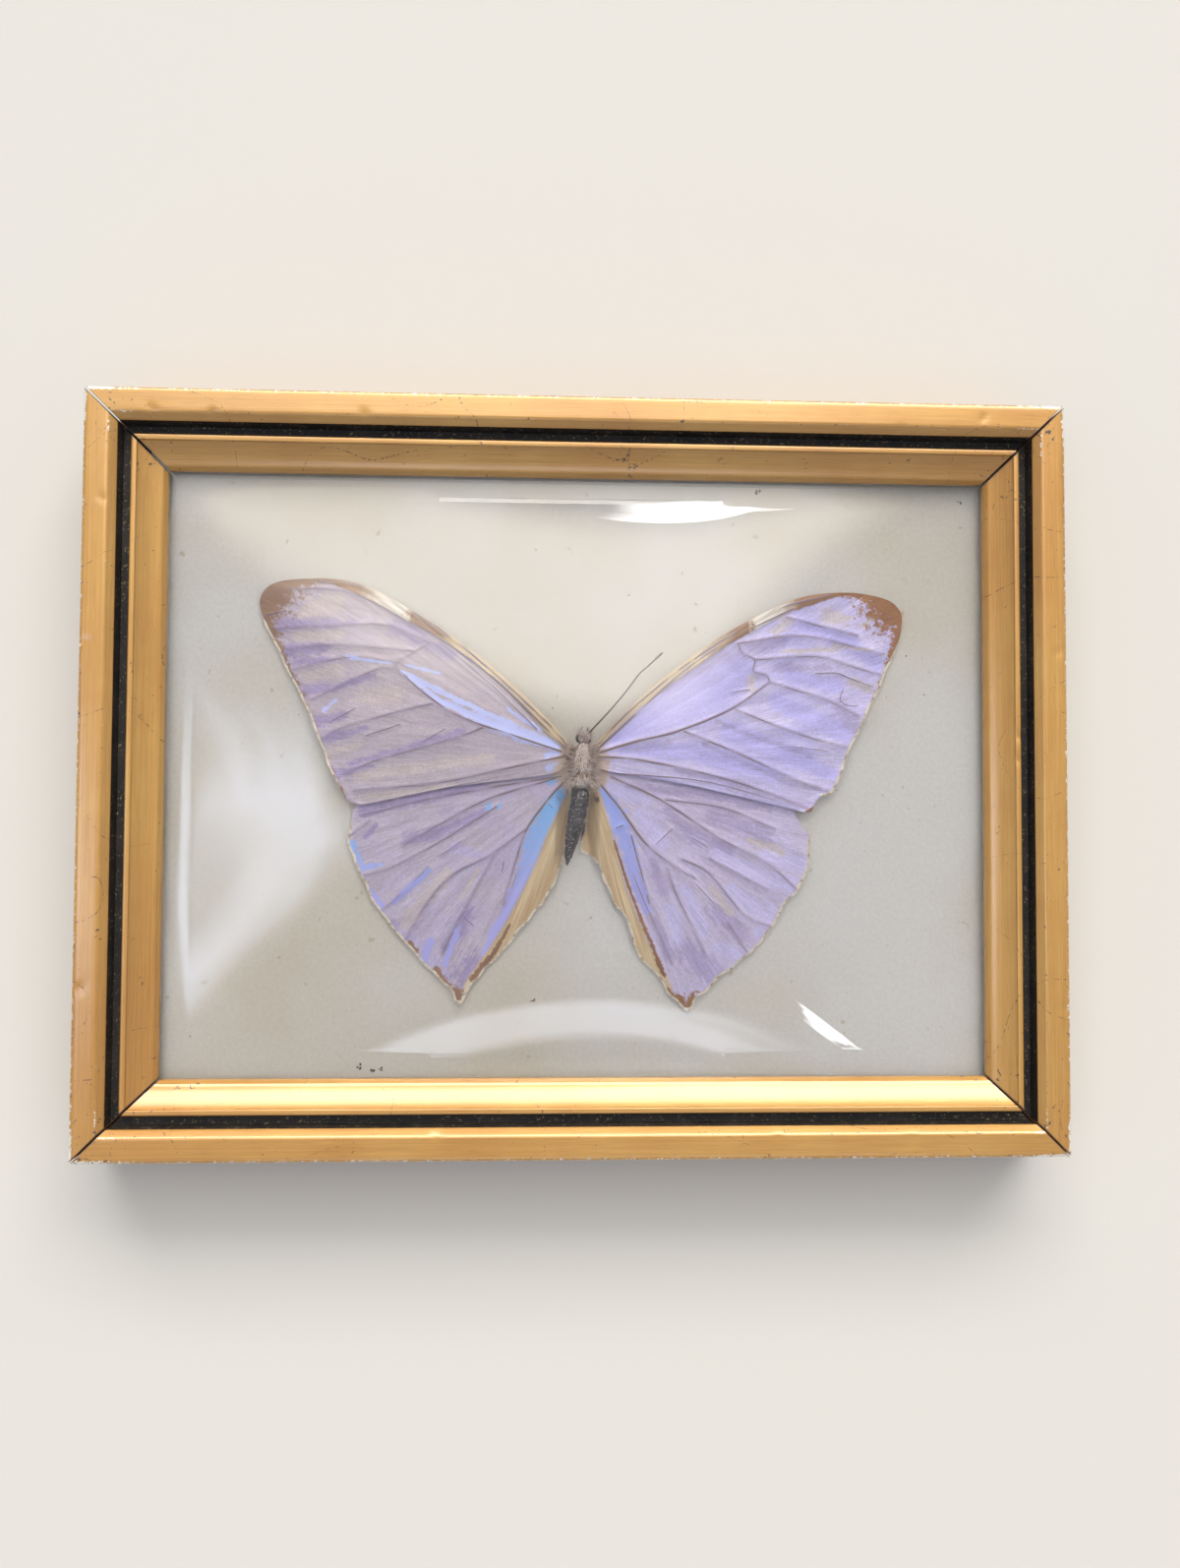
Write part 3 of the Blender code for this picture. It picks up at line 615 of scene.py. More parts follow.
STEEL, BRASS = drawn_steel(), stamped_brass()
for place in ("top_left", "top_right", "bottom_left", "bottom_right", "left", "right"):
    name = "brad_" + place
    low, high = box_mm(name)
    middle = (low + high) / 2
    lengthwise = int(np.argmax(high - low))
    towards_head = -np.sign(middle[lengthwise])
    axis = np.zeros(3)
    axis[lengthwise] = towards_head
    long, wide = high[lengthwise] - low[lengthwise], (high[2] - low[2]) / 2
    shank = wide * 0.71
    point = middle.copy()
    point[lengthwise] = low[lengthwise] if towards_head > 0 else high[lengthwise]
    profile = [(0.0, 0.05), (0.9, shank), (long - 0.55, shank), (long - 0.42, shank + 0.04),
               (long - 0.3, wide - 0.05), (long - 0.2, wide), (long - 0.06, wide - 0.03), (long, wide - 0.16),
               (long, 0.05)]
    ring_piece(name + "_wire", spun(profile, point, axis), [STEEL], "steel_brad", replaces=(name,))
for name in ("hanger_rivet_left", "hanger_rivet_right"):
    low, high = box_mm(name)
    middle = (low + high) / 2
    head_radius, long = (high[0] - low[0]) / 2, high[2] - low[2]
    t = np.linspace(0.04, np.pi / 2, 10)
    profile = list(zip(0.6 * (1 - np.cos(t)), head_radius * np.sin(t)))
    shank = head_radius * 0.5
    profile += [(0.66, head_radius * 0.97), (0.66, shank), (long, shank), (long, 0.05)]
    rings = spun(profile, np.array([middle[0], middle[1], low[2]]), np.array([0.0, 0.0, 1.0]))
    ring_piece(name + "_domed", rings, [BRASS], "brass_hanger", replaces=(name,))

# %% [markdown]
# The hanger is punched from strip, which leaves its edges slightly rolled over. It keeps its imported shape: a
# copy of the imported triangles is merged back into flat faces, and a Bevel rounds the edges between them.

# %% Sawtooth hanger
shape = bmesh.new()
shape.from_mesh(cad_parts["sawtooth_hanger"].data)
bmesh.ops.remove_doubles(shape, verts=shape.verts, dist=0.00001)
bmesh.ops.dissolve_limit(shape, angle_limit=math.radians(1), verts=shape.verts, edges=shape.edges)
strip_mesh = bpy.data.meshes.new("sawtooth_hanger_strip")
shape.to_mesh(strip_mesh)
shape.free()
strip_mesh.materials.clear()
strip_mesh.materials.append(BRASS)
strip_mesh.polygons.foreach_set("material_index", np.zeros(len(strip_mesh.polygons), dtype=np.int32))
strip_mesh.shade_smooth()
strip_mesh.set_sharp_from_angle(angle=math.radians(35))
strip = bpy.data.objects.new("sawtooth_hanger_strip", strip_mesh)
bpy.context.scene.collection.objects.link(strip)
rounding = strip.modifiers.new("stamped_edges", "BEVEL")
rounding.width = 0.1 * MM
rounding.segments = 3
rounding.limit_method = "ANGLE"
rounding.angle_limit = math.radians(40)
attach(strip, "root")
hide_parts("sawtooth_hanger")
print("hanger strip:", len(strip_mesh.polygons), "faces before rounding")

# %% [markdown]
# A wing of a dry butterfly is a clear skin, stiffened by tube-like veins that spread from its root, and
# covered with flat scales like roof tiles. Its colour comes from thin layers in the scales, so it has a
# pearly shine, and where scales have rubbed off it is dull. The four wings differ, so each has a plan: its
# outline, its veins, and the marks on it as brush strokes, each a line of (x, y, half width) in millimetres.

# %% Plans of the forewings
FOREWING_LEFT = {
    "node": "forewing_left", "seed": 3, "worn_from": 0.44, "worn_to": (0.74, 0.7), "nicks": 0.16,
    "root": ((-1.3, 4.0), (-1.3, 1.3)),
    "outline": [
        (-1.4, 4.3), (-5.1, 8.4), (-10.7, 13.9), (-17.1, 19.0), (-25.4, 24.3), (-30.7, 27.1),
        (-35.9, 28.3), (-41.2, 28.3), (-44.4, 27.7), (-46.2, 26.2), (-46.5, 23.9), (-45.4, 20.9),
        (-42.4, 15.0), (-38.9, 8.0), (-36.3, 1.4), (-34.8, -1.4), (-33.7, -3.4), (-32.2, -4.3),
        (-29.7, -4.1), (-19.5, -2.0), (-9.4, -0.6), (-4.2, 0.1), (-1.5, 1.1)],
    "veins": [
        [(-2.6, 3.3, .17), (-9.7, 5.7, .16), (-17.4, 8.4, .14), (-22.6, 11.8, .12), (-26.6, 15.4, .08)],
        [(-26.6, 15.4, .07), (-26.6, 16.2, .07), (-23.9, 17.9, .08), (-22.0, 19.2, .1)],
        [(-14.0, 6.8, .11), (-18.5, 5.1, .1), (-29.5, 1.9, .07), (-35.5, -0.9, .04)],
        [(-21.3, 10.3, .1), (-26.5, 9.0, .08), (-34.7, 6.5, .06), (-37.1, 4.9, .04)],
        [(-26.6, 15.4, .09), (-29.9, 15.1, .08), (-35.6, 12.3, .06), (-38.9, 10.7, .04)],
        [(-26.6, 16.2, .09), (-33.9, 16.9, .07), (-41.7, 15.0, .04)],
        [(-23.9, 17.9, .09), (-35.7, 18.7, .06), (-43.3, 18.0, .04)],
        [(-22.0, 19.2, .1), (-28.5, 21.7, .08), (-37.3, 21.4, .06), (-45.0, 21.0, .04)],
        [(-23.9, 21.6, .1), (-33.4, 26.4, .08), (-43.4, 26.9, .05)],
        [(-2.0, 2.7, .17), (-9.7, 1.1, .13), (-20.3, -1.2, .1), (-32.4, -2.4, .05)],
        [(-1.9, 3.6, .2), (-5.6, 7.3, .22), (-12.6, 14.1, .2), (-20.0, 19.5, .16), (-29.0, 25.2, .1)],
        [(-1.8, 4.1, .22), (-5.5, 8.2, .22), (-17.2, 18.6, .17), (-30.6, 26.7, .12), (-38.0, 28.0, .07)]],
    "band": [
        (-1.5, 2.9), (-5.1, 6.1), (-10.4, 12.2), (-18.1, 18.3), (-26.0, 22.8), (-33.4, 26.6),
        (-37.5, 28.0), (-50.0, 29.5)],
    "blue": [
        [(-3.5, 4.1, .7), (-8.2, 5.7, 1.0), (-12.8, 7.4, .8), (-17.4, 9.4, .5), (-20.4, 10.7, .4),
         (-24.6, 13.9, .2)], [(-9.7, 7.0, .5), (-14.6, 9.4, .4), (-19.6, 11.7, .4), (-26.0, 15.0, .25)],
        [(-25.4, 15.9, .22), (-20.5, 14.7, .2)],
        [(-33.9, 17.1, .28), (-31.0, 16.5, .25), (-26.9, 16.2, .15)],
        [(-5.7, 6.6, .35), (-8.2, 7.9, .3), (-10.5, 9.6, .2)], [(-4.8, 2.7, .5), (-3.2, 3.0, .5)],
        [(-4.4, 1.0, .5), (-3.0, 1.6, .5)], [(-37.0, 9.2, .3), (-35.2, 11.0, .2)]],
    "bare": [
        [(-35.4, 25.2, 1.3), (-38.8, 24.2, 1.3), (-40.6, 23.0, .7)],
        [(-41.0, 19.9, .8), (-35.0, 20.2, .6)], [(-39.8, 14.2, .9), (-35.0, 15.0, .8)],
        [(-32.0, -0.4, .7), (-24.0, 0.9, .9), (-13.0, 2.5, .7)], [(-37.0, 3.1, .7), (-32.0, 4.2, .5)],
        # The last bare stroke, along the hind edge, is a painted highlight: a pinkish line where the curled-up
        # edge catches the light.
        [(-32.0, 11.0, 1.2), (-27.0, 11.6, 1.4)], [(-31.5, -3.4, .5), (-26.0, -2.7, .4), (-18.0, -1.4, .3)]],
    "violet": [
        [(-44.6, 21.6, .9), (-38.5, 21.9, .8), (-33.0, 21.9, .5)], [(-42.6, 18.0, 1.0), (-37.0, 18.3, .7)],
        [(-41.6, 16.2, .5), (-36.0, 16.7, .4)], [(-40.0, 12.0, .8), (-35.0, 12.6, .5), (-30.0, 14.4, .4)],
        [(-38.0, 7.5, .8), (-34.0, 8.6, .5)], [(-37.0, 5.0, .7), (-31.0, 6.7, .4)],
        [(-35.6, -0.2, .8), (-30.0, 1.1, .4)], [(-23.0, 20.6, 1.5), (-27.0, 21.4, 1.2), (-19.0, 17.6, .8)],
        [(-17.0, 6.2, .5), (-26.0, 3.6, .5), (-33.0, 1.4, .4)]],
    "brown": [
        [(-36.0, 28.6, .5), (-41.0, 28.6, 1.9), (-45.2, 27.6, 4.3), (-46.8, 24.8, 3.8), (-46.0, 21.0, 2.0),
         (-43.8, 17.2, 1.0), (-40.2, 9.8, .8), (-36.7, 1.4, .55), (-34.0, -3.4, .45)]],
    "bright": [],
    "creases": [
        [(-24.0, 3.9, .05), (-19.5, 6.6, .05)], [(-31.0, 5.5, .05), (-26.0, 7.2, .05)],
        [(-46.0, 22.8, .06), (-43.0, 23.6, .06)], [(-36.0, 7.6, .06), (-32.5, 9.5, .05)],
        [(-6.2, 6.5, .07), (-14.5, 14.6, .06), (-21.5, 20.0, .05)]],
    "brown_tone": "#8A6449", "brown_worn": "#A68672",
    "dull": "#BFB1BF", "pearl": "#CFC3CF", "shine": "#C8BBD2",
    "violet_tone": "#9A88C4", "violet_most": 0.62,
    "blue_tones": ("#C0C2F8", "#C4CCFF"), "rib_brown": (0.45, 0.53),
}
FOREWING_RIGHT = {
    "node": "forewing_right", "seed": 5, "worn_from": 0.46, "worn_to": (0.74, 0.7), "nicks": 0.24,
    "root": ((1.7, 4.0), (1.7, 1.3)),
    "outline": [
        (1.9, 4.3), (4.5, 7.0), (10.2, 12.6), (16.2, 17.4), (21.4, 21.0), (28.1, 24.7), (33.2, 26.7),
        (39.9, 27.4), (45.1, 26.6), (47.3, 25.1), (47.8, 23.0), (46.7, 18.4), (44.1, 12.7), (41.6, 7.8),
        (39.8, 4.0), (38.5, 0.8), (37.3, -2.0), (35.4, -2.9), (34.5, -4.0), (33.5, -5.2), (29.9, -4.4),
        (21.5, -2.4), (11.5, -0.6), (5.0, 0.4), (1.9, 1.1)],
    "veins": [
        [(2.9, 3.3, .2), (8.8, 5.1, .2), (14.2, 6.5, .19), (22.0, 9.8, .18), (27.9, 13.9, .12)],
        [(27.9, 13.9, .1), (27.4, 14.9, .1), (25.5, 15.5, .09), (25.7, 17.2, .09), (23.9, 18.1, .09),
         (23.2, 19.6, .09)], [(25.7, 17.2, .09), (34.7, 17.8, .07), (39.5, 16.6, .06), (45.0, 15.0, .04)],
        [(27.9, 13.9, .1), (36.0, 11.5, .07), (41.1, 9.0, .04)],
        [(22.7, 9.8, .11), (31.5, 6.5, .08), (39.5, 4.2, .04)],
        [(15.1, 6.5, .12), (23.3, 3.3, .09), (31.5, -0.4, .06), (36.3, -2.1, .04)],
        [(2.0, 2.7, .18), (9.5, 2.1, .14), (22.1, -0.6, .1), (33.4, -4.6, .05)],
        [(23.3, 19.6, .1), (33.2, 20.8, .07), (45.0, 18.2, .04)], [(30.3, 23.6, .09), (41.1, 21.0, .05)],
        [(2.4, 3.7, .22), (6.8, 7.7, .22), (15.0, 15.2, .2), (22.6, 20.4, .16), (31.5, 24.9, .1)],
        [(2.3, 4.2, .22), (7.5, 9.6, .24), (16.3, 16.9, .18), (28.2, 24.3, .14), (37.0, 27.0, .07)]],
    "band": [
        (1.5, 2.9), (6.3, 7.7), (11.0, 11.9), (22.0, 19.5), (30.6, 24.2), (38.0, 26.7), (50.0, 28.5)],
    "blue": [],
    "bare": [
        [(29.0, 21.4, .8), (30.6, 23.1, .8)], [(25.2, 14.6, .5), (25.3, 12.6, .5)],
        [(36.7, 23.8, 1.2), (39.0, 23.6, .8)], [(40.6, 14.0, .8), (42.8, 13.1, .7)],
        [(37.5, 19.4, .4), (43.0, 18.9, .3)], [(44.0, 24.2, .5), (42.0, 22.4, .4)],
        [(30.0, 18.5, .35), (38.0, 18.9, .3)], [(45.6, 17.0, .4), (44.2, 13.8, .3)]],
    "violet": [
        [(14.0, 0.7, .4), (22.1, -1.1, .7), (26.0, -2.3, .8), (33.1, -3.9, .7)],
        [(38.5, 9.8, 1.3), (41.0, 7.2, 1.4)],
        [(12.0, 12.5, .6), (16.0, 15.3, 1.0), (20.0, 17.7, 1.1), (26.0, 19.3, 1.2), (30.0, 19.7, .8)],
        [(20.0, 8.0, .35), (25.0, 6.0, .4), (34.0, 3.0, .4)],
        [(18.0, 4.6, .3), (30.0, -0.6, .4), (35.0, -1.8, .3)], [(29.0, 16.2, .6), (37.0, 16.0, .5)],
        [(6.0, 3.6, .4), (13.0, 4.8, .5)]],
    "brown": [
        [(38.0, 27.6, .6), (43.0, 27.6, 1.6), (46.4, 26.2, 4.6), (48.4, 23.8, 3.6), (48.0, 20.6, 1.8),
         (45.8, 15.6, .7), (42.0, 7.8, .5), (39.8, 2.8, .4), (37.4, -2.6, .5), (33.4, -5.4, .5)]],
    "bright": [
        [(5.0, 5.4, .7), (12.0, 9.2, 2.4), (19.0, 12.4, 3.0), (23.0, 15.8, 1.8)],
        [(6.0, 3.6, .5), (16.0, 3.6, 1.2), (28.0, 0.4, .8)],
        [(22.0, 6.6, 1.2), (33.0, 2.2, 1.2), (37.0, 0.4, .8)], [(29.0, 11.0, 1.2), (39.0, 6.4, 1.2)],
        [(31.0, 15.0, .9), (38.0, 13.4, .9)], [(33.0, 22.4, .9), (40.0, 19.8, 1.0), (44.0, 16.8, .9)]],
    "creases": [
        [(34.7, 15.3, .06), (37.9, 15.4, .07), (39.8, 14.7, .07), (43.4, 13.4, .05)],
        [(38.9, 13.1, .06), (38.4, 11.5, .07), (39.5, 10.6, .06), (41.1, 10.6, .05)],
        [(4.8, 0.3, .07), (18.9, -0.9, .06), (33.4, -4.9, .05)], [(25.0, 12.8, .06), (22.4, 12.4, .05)],
        [(31.0, 4.5, .05), (36.5, 3.8, .05)], [(8.0, 8.9, .06), (18.0, 17.1, .05)]],
    "brown_tone": "#8C582C", "brown_worn": "#AA784A",
    # These tones are lighter and bluer than the left forewing's, as a painted sheen: the same scales catch the
    # light at another angle on this side.
    "dull": "#CEC5F0", "pearl": "#E2DBFF", "shine": "#C8C2FD",
    "violet_tone": "#A596C4", "violet_most": 0.42,
    "blue_tones": ("#C0C2F8", "#C4CCFF"), "rib_brown": (0.49, 0.54),
}
print("forewing outline points:", len(FOREWING_LEFT["outline"]), len(FOREWING_RIGHT["outline"]))

# %% [markdown]
# The hindwings have scalloped outer edges. Their inner edge is a soft tan flap that folds down beside the
# body: the fold is one more line, and everything on the body's side of it is flap.

# %% Plans of the hindwings
HINDWING_LEFT = {
    "node": "hindwing_left", "seed": 7, "worn_from": 0.3, "worn_to": (1.0, 0.93), "nicks": 0.34,
    "root": ((-1.2, 0.6), (-1.2, -1.6)),
    "outline": [
        (-1.5, 0.8), (-6.0, 1.0), (-14.0, 1.4), (-25.0, 0.4), (-30.6, -2.2), (-32.4, -5.0), (-33.5, -9.2),
        (-32.6, -13.2), (-31.0, -15.8), (-29.0, -19.3), (-26.4, -22.9), (-24.4, -25.4), (-21.8, -27.9),
        (-19.8, -30.0), (-18.5, -31.5), (-17.5, -32.9), (-16.6, -32.8), (-15.8, -30.7), (-14.2, -28.9),
        (-12.2, -26.7), (-9.2, -23.4), (-6.7, -20.3), (-4.1, -16.7), (-2.3, -13.1), (-1.5, -9.6),
        (-1.3, -6.0), (-1.25, -2.0)],
    "veins": [
        [(-2.3, -1.0, .17), (-4.3, -3.2, .16), (-7.6, -7.8, .14), (-9.3, -12.9, .1), (-11.0, -18.7, .05)],
        [(-3.5, -0.5, .12), (-13.2, -3.5, .1), (-20.9, -7.6, .07), (-25.2, -10.1, .04)],
        [(-7.6, -7.8, .12), (-13.1, -11.7, .1), (-18.2, -14.4, .07), (-21.7, -18.2, .06),
         (-25.0, -23.7, .04)],
        [(-12.4, -11.7, .1), (-13.8, -14.4, .08), (-17.9, -22.1, .06), (-19.7, -25.9, .04)],
        [(-21.8, -13.4, .06), (-26.7, -18.2, .06), (-28.6, -19.7, .04)],
        [(-30.2, -6.7, .08), (-33.1, -8.9, .06)],
        [(-12.0, -4.6, .07), (-20.0, -9.6, .07), (-27.0, -13.4, .05), (-31.0, -14.6, .04)],
        [(-2.6, -0.2, .12), (-12.0, -1.7, .1), (-22.0, -3.6, .08), (-31.4, -6.0, .05)]],
    "fold": [
        (-1.2, 1.0), (-2.1, -3.2), (-4.7, -8.3), (-6.4, -12.9), (-8.3, -16.8), (-10.7, -21.3),
        (-13.5, -25.7), (-16.2, -29.4), (-18.0, -33.5)],
    "blue": [
        [(-2.1, -1.7, .5), (-4.1, -4.6, 1.1), (-5.9, -8.3, 1.45), (-7.2, -12.1, 1.25), (-8.4, -15.3, .9),
         (-10.2, -19.4, .8), (-12.2, -23.1, .7), (-14.0, -26.0, .3)],
        [(-32.9, -10.1, .6), (-32.0, -12.4, .6)], [(-31.4, -13.6, .6), (-28.6, -13.0, .25)],
        [(-30.2, -16.8, .5), (-28.6, -19.4, .6)],
        [(-17.4, -22.0, .3), (-17.8, -23.5, .5), (-19.2, -27.1, .5)],
        [(-21.5, -24.0, .6), (-22.4, -26.9, .6)],
        [(-21.8, -13.9, .35), (-24.0, -15.9, .5), (-26.7, -18.5, .4)],
        [(-13.2, -4.9, .3), (-13.0, -4.1, .25)], [(-11.8, -4.9, .2), (-11.5, -4.3, .2)],
        [(-3.4, -0.5, .4), (-4.4, -1.1, .4)]],
    "bare": [
        [(-19.0, -14.2, .7), (-22.0, -17.6, 1.1), (-25.0, -21.5, 1.2)],
        [(-14.4, -13.4, .2), (-17.2, -18.0, .25)]],
    "violet": [
        [(-27.0, -21.6, .7), (-24.0, -21.4, 1.0), (-21.0, -17.6, .5)],
        [(-15.0, -27.0, 1.6), (-16.6, -29.2, 1.4)], [(-19.0, -25.0, 1.0), (-16.0, -20.0, .9)],
        [(-14.0, -5.4, .6), (-20.0, -8.4, .9), (-25.0, -9.4, .7)],
        [(-31.0, -5.2, .8), (-24.0, -3.6, .8), (-14.0, -1.2, .6)], [(-31.0, -9.2, .3), (-29.4, -7.4, .3)]],
    "brown": [
        [(-18.6, -31.0, .4), (-17.4, -32.0, 1.3), (-16.6, -33.4, 1.3)],
        [(-15.2, -29.4, .55), (-12.0, -25.4, .35), (-10.0, -21.6, .2)],
        [(-24.4, -24.4, .4), (-23.6, -25.6, .5)], [(-20.6, -28.4, .6), (-18.4, -31.2, .5)]],
    "bright": [
        [(-26.0, -22.0, .6), (-23.0, -24.6, .7), (-19.0, -29.0, .5)],
        [(-13.4, -12.0, .3), (-18.0, -10.6, .9)]],
    "creases": [
        [(-12.4, -11.7, .07), (-13.6, -14.0, .07)], [(-10.9, -12.5, .06), (-11.2, -13.9, .05)],
        [(-3.4, -3.1, .05), (-2.6, -3.9, .05)], [(-15.2, -21.8, .06), (-16.6, -20.6, .06)],
        [(-8.9, -13.4, .07), (-9.6, -15.8, .06), (-10.9, -18.8, .06)],
        [(-20.0, -11.6, .05), (-17.0, -9.6, .05)], [(-4.6, -4.0, .05), (-3.9, -4.8, .05)],
        [(-25.6, -12.6, .05), (-22.2, -11.2, .05)]],
    "brown_tone": "#8E6446", "brown_worn": "#AC8468",
    "dull": "#C4B7CB", "pearl": "#D6CBDF", "shine": "#C9BEE4",
    "violet_tone": "#9A88C4", "violet_most": 0.62,
    "blue_tones": ("#B4B3F4", "#8EC4FF"),
}
HINDWING_RIGHT = {
    "node": "hindwing_right", "seed": 11, "worn_from": 0.3, "worn_to": (1.0, 0.93), "nicks": 0.4,
    "root": ((1.5, 0.6), (1.4, -1.6)),
    "outline": [
        (1.8, 0.8), (6.0, 1.0), (14.0, 1.2), (25.0, 0.2), (30.0, -3.0), (32.8, -7.4), (33.7, -9.0),
        (34.0, -12.0), (32.8, -15.6), (31.5, -17.6), (29.4, -19.7), (27.9, -22.8), (25.3, -25.9),
        (21.6, -28.4), (19.6, -30.7), (17.5, -32.0), (16.7, -33.6), (15.7, -34.1), (13.9, -32.8),
        (12.4, -31.5), (12.1, -30.0), (9.8, -27.2), (8.0, -24.4), (6.2, -20.3), (3.6, -15.2), (1.5, -11.9),
        (0.5, -11.1), (0.4, -9.6), (0.9, -6.0), (1.3, -2.0)],
    "veins": [
        [(3.0, -1.4, .17), (5.8, -4.7, .16), (9.7, -9.9, .14), (14.0, -13.2, .1), (16.9, -14.9, .06)],
        [(7.5, -8.7, .1), (9.0, -14.0, .09), (10.2, -18.5, .05)],
        [(12.8, -13.5, .1), (14.3, -17.5, .08), (18.3, -25.6, .05)],
        [(4.4, -0.2, .14), (11.8, -3.5, .12), (20.2, -8.9, .09), (27.5, -12.7, .06), (32.0, -16.5, .04)],
        [(12.5, -3.5, .1), (21.0, -4.6, .08), (28.7, -7.7, .05)],
        [(19.0, -12.0, .1), (24.8, -15.1, .09), (27.5, -16.5, .06)],
        [(15.0, -12.1, .1), (19.0, -14.2, .09), (24.1, -20.1, .07), (27.9, -21.8, .04)],
        [(21.7, -21.3, .07), (24.6, -25.6, .04)],
        [(7.5, -10.7, .08), (7.8, -14.2, .08), (13.6, -27.3, .04)], [(4.4, -8.0, .12), (6.3, -7.2, .1)]],
    "fold": [
        (1.4, 1.0), (3.2, -3.0), (4.7, -8.0), (6.8, -15.9), (8.8, -20.9), (11.2, -26.1), (13.1, -29.4),
        (15.2, -34.6)],
    "blue": [
        [(3.1, -2.0, .5), (4.4, -4.0, 1.0), (5.6, -6.5, 1.3), (6.7, -9.3, 1.1), (7.5, -12.5, 1.0),
         (8.5, -16.0, .9), (9.9, -19.5, .6)]],
    "bare": [
        [(19.6, -16.6, .7), (22.0, -19.6, .6)], [(25.0, -9.3, .5), (30.0, -11.0, .5)]],
    "violet": [
        [(12.6, -5.0, .5), (17.0, -9.0, 1.0), (22.0, -10.8, .8)], [(16.0, -26.0, 2.0), (20.0, -28.6, 1.6)],
        [(11.0, -21.0, .5), (13.4, -26.0, .8)], [(19.6, -5.8, .9), (27.0, -8.6, 1.0)],
        [(20.0, -20.0, 1.4), (24.0, -23.6, .9)], [(10.5, -12.5, .5), (12.4, -17.0, .7)],
        [(7.0, -1.6, .5), (18.0, -2.6, .8), (28.0, -4.4, .7)]],
    "brown": [
        [(12.0, -31.0, .7), (13.4, -32.6, 1.5), (15.6, -34.2, 1.8), (17.0, -33.0, 1.4)],
        [(5.0, -9.4, .16), (7.1, -15.9, .2), (9.2, -21.2, .22), (12.4, -28.8, .35)],
        [(18.6, -31.6, .4), (17.0, -32.6, .5)]],
    "bright": [
        [(4.5, -1.7, .6), (7.0, -2.8, .9), (9.5, -3.6, .7)],
        [(20.0, -11.3, .8), (27.5, -15.0, 1.1), (31.0, -15.6, 1.0)],
        [(27.5, -11.5, 1.0), (32.5, -12.8, 1.2)], [(22.3, -16.5, .9), (27.3, -20.5, 1.0)],
        [(15.5, -16.5, .7), (18.2, -22.5, .8)], [(13.5, -19.5, .9), (14.5, -24.0, .9)],
        [(21.0, -25.0, .8), (23.8, -26.4, .8)], [(8.8, -5.5, .8), (12.0, -9.5, .9)],
        [(28.0, -19.6, .7), (26.4, -23.0, .7)]],
    "creases": [
        [(20.0, -12.5, .08), (24.0, -14.5, .08)], [(11.0, -10.0, .06), (13.6, -7.6, .05)],
        [(13.0, -14.4, .06), (14.6, -16.0, .05)], [(7.4, -10.2, .06), (8.0, -13.0, .06)],
        [(22.6, -20.5, .06), (24.4, -21.7, .06)], [(16.5, -9.0, .05), (18.8, -10.4, .05)],
        [(17.0, -15.6, .06), (19.8, -18.6, .06)]],
    "brown_tone": "#8C5A34", "brown_worn": "#AA7C50",
    "dull": "#CCC0E0", "pearl": "#DDD3F0", "shine": "#D8D0FC",
    "violet_tone": "#9A88C4", "violet_most": 0.42,
    "blue_tones": ("#B4B3F4", "#A8B8FF"),
}
print("hindwing outline points:", len(HINDWING_LEFT["outline"]), len(HINDWING_RIGHT["outline"]))

# %% [markdown]
# Every mark is read back at each point of the wing as a plain number: how far under a stroke the point lies,
# or how far past a line. The material then turns those numbers into colour, with its own ragged edges.

# %% Marks on a wing
STROKE_MARKS = ("blue", "bare", "violet", "brown", "bright")


def under_strokes(points, strokes):
    """1 on a stroke's centre line, 0.5 where its half width ends, falling evenly to 0 at twice that."""
    cover = np.zeros(len(points))
    for stroke in strokes:
        path = np.array(stroke)
        for a, b in zip(path, path[1:]):
            along = b[:2] - a[:2]
            t = np.clip(((points - a[:2]) @ along) / (along @ along), 0, 1)
            half = a[2] + t * (b[2] - a[2])
            away = np.linalg.norm(points - a[:2] - t[:, None] * along, axis=1)
            cover = np.maximum(cover, 1 - 0.5 * away / half)
    return cover


def past_line(across, along, line, turned=False):
    """How far each point lies past a line that is read as a curve of across over along."""
    steps = np.array(line)
    steps = steps[:, ::-1] if turned else steps
    steps = steps[np.argsort(steps[:, 0])]
    return across - np.interp(along, steps[:, 0], steps[:, 1])


def wobble(count, knots, rng):
    """Smooth noise along a line: random values at a few knots, joined by straight runs."""
    return np.interp(np.linspace(0, 1, count), np.linspace(0, 1, knots), rng.uniform(-1, 1, knots))


print("marks painted as strokes:", *STROKE_MARKS)

# %% [markdown]
# Veins, antennae and feelers are tubes, and a piece may be a bundle of many small shapes. One function wraps
# rings round a path, and a bundle gathers shapes into one mesh, so that each needn't be an object of its own.

# %% Tubes and bundles
VEIN_SIDES = 7


def tube(path, radii, sides):
    """Rings round a path: centre + radius * (cos a * sideways + sin a * upright), square to its direction."""
    ahead = np.gradient(path, axis=0)
    ahead /= np.linalg.norm(ahead, axis=1, keepdims=True)
    sideways = np.cross(ahead, [0.0, 0.0, 1.0])
    sideways /= np.linalg.norm(sideways, axis=1, keepdims=True)
    upright = np.cross(sideways, ahead)
    a = np.linspace(0, 2 * np.pi, sides, endpoint=False)[None, :, None]
    ring = np.cos(a) * sideways[:, None] + np.sin(a) * upright[:, None]
    return path[:, None] + radii[:, None, None] * ring


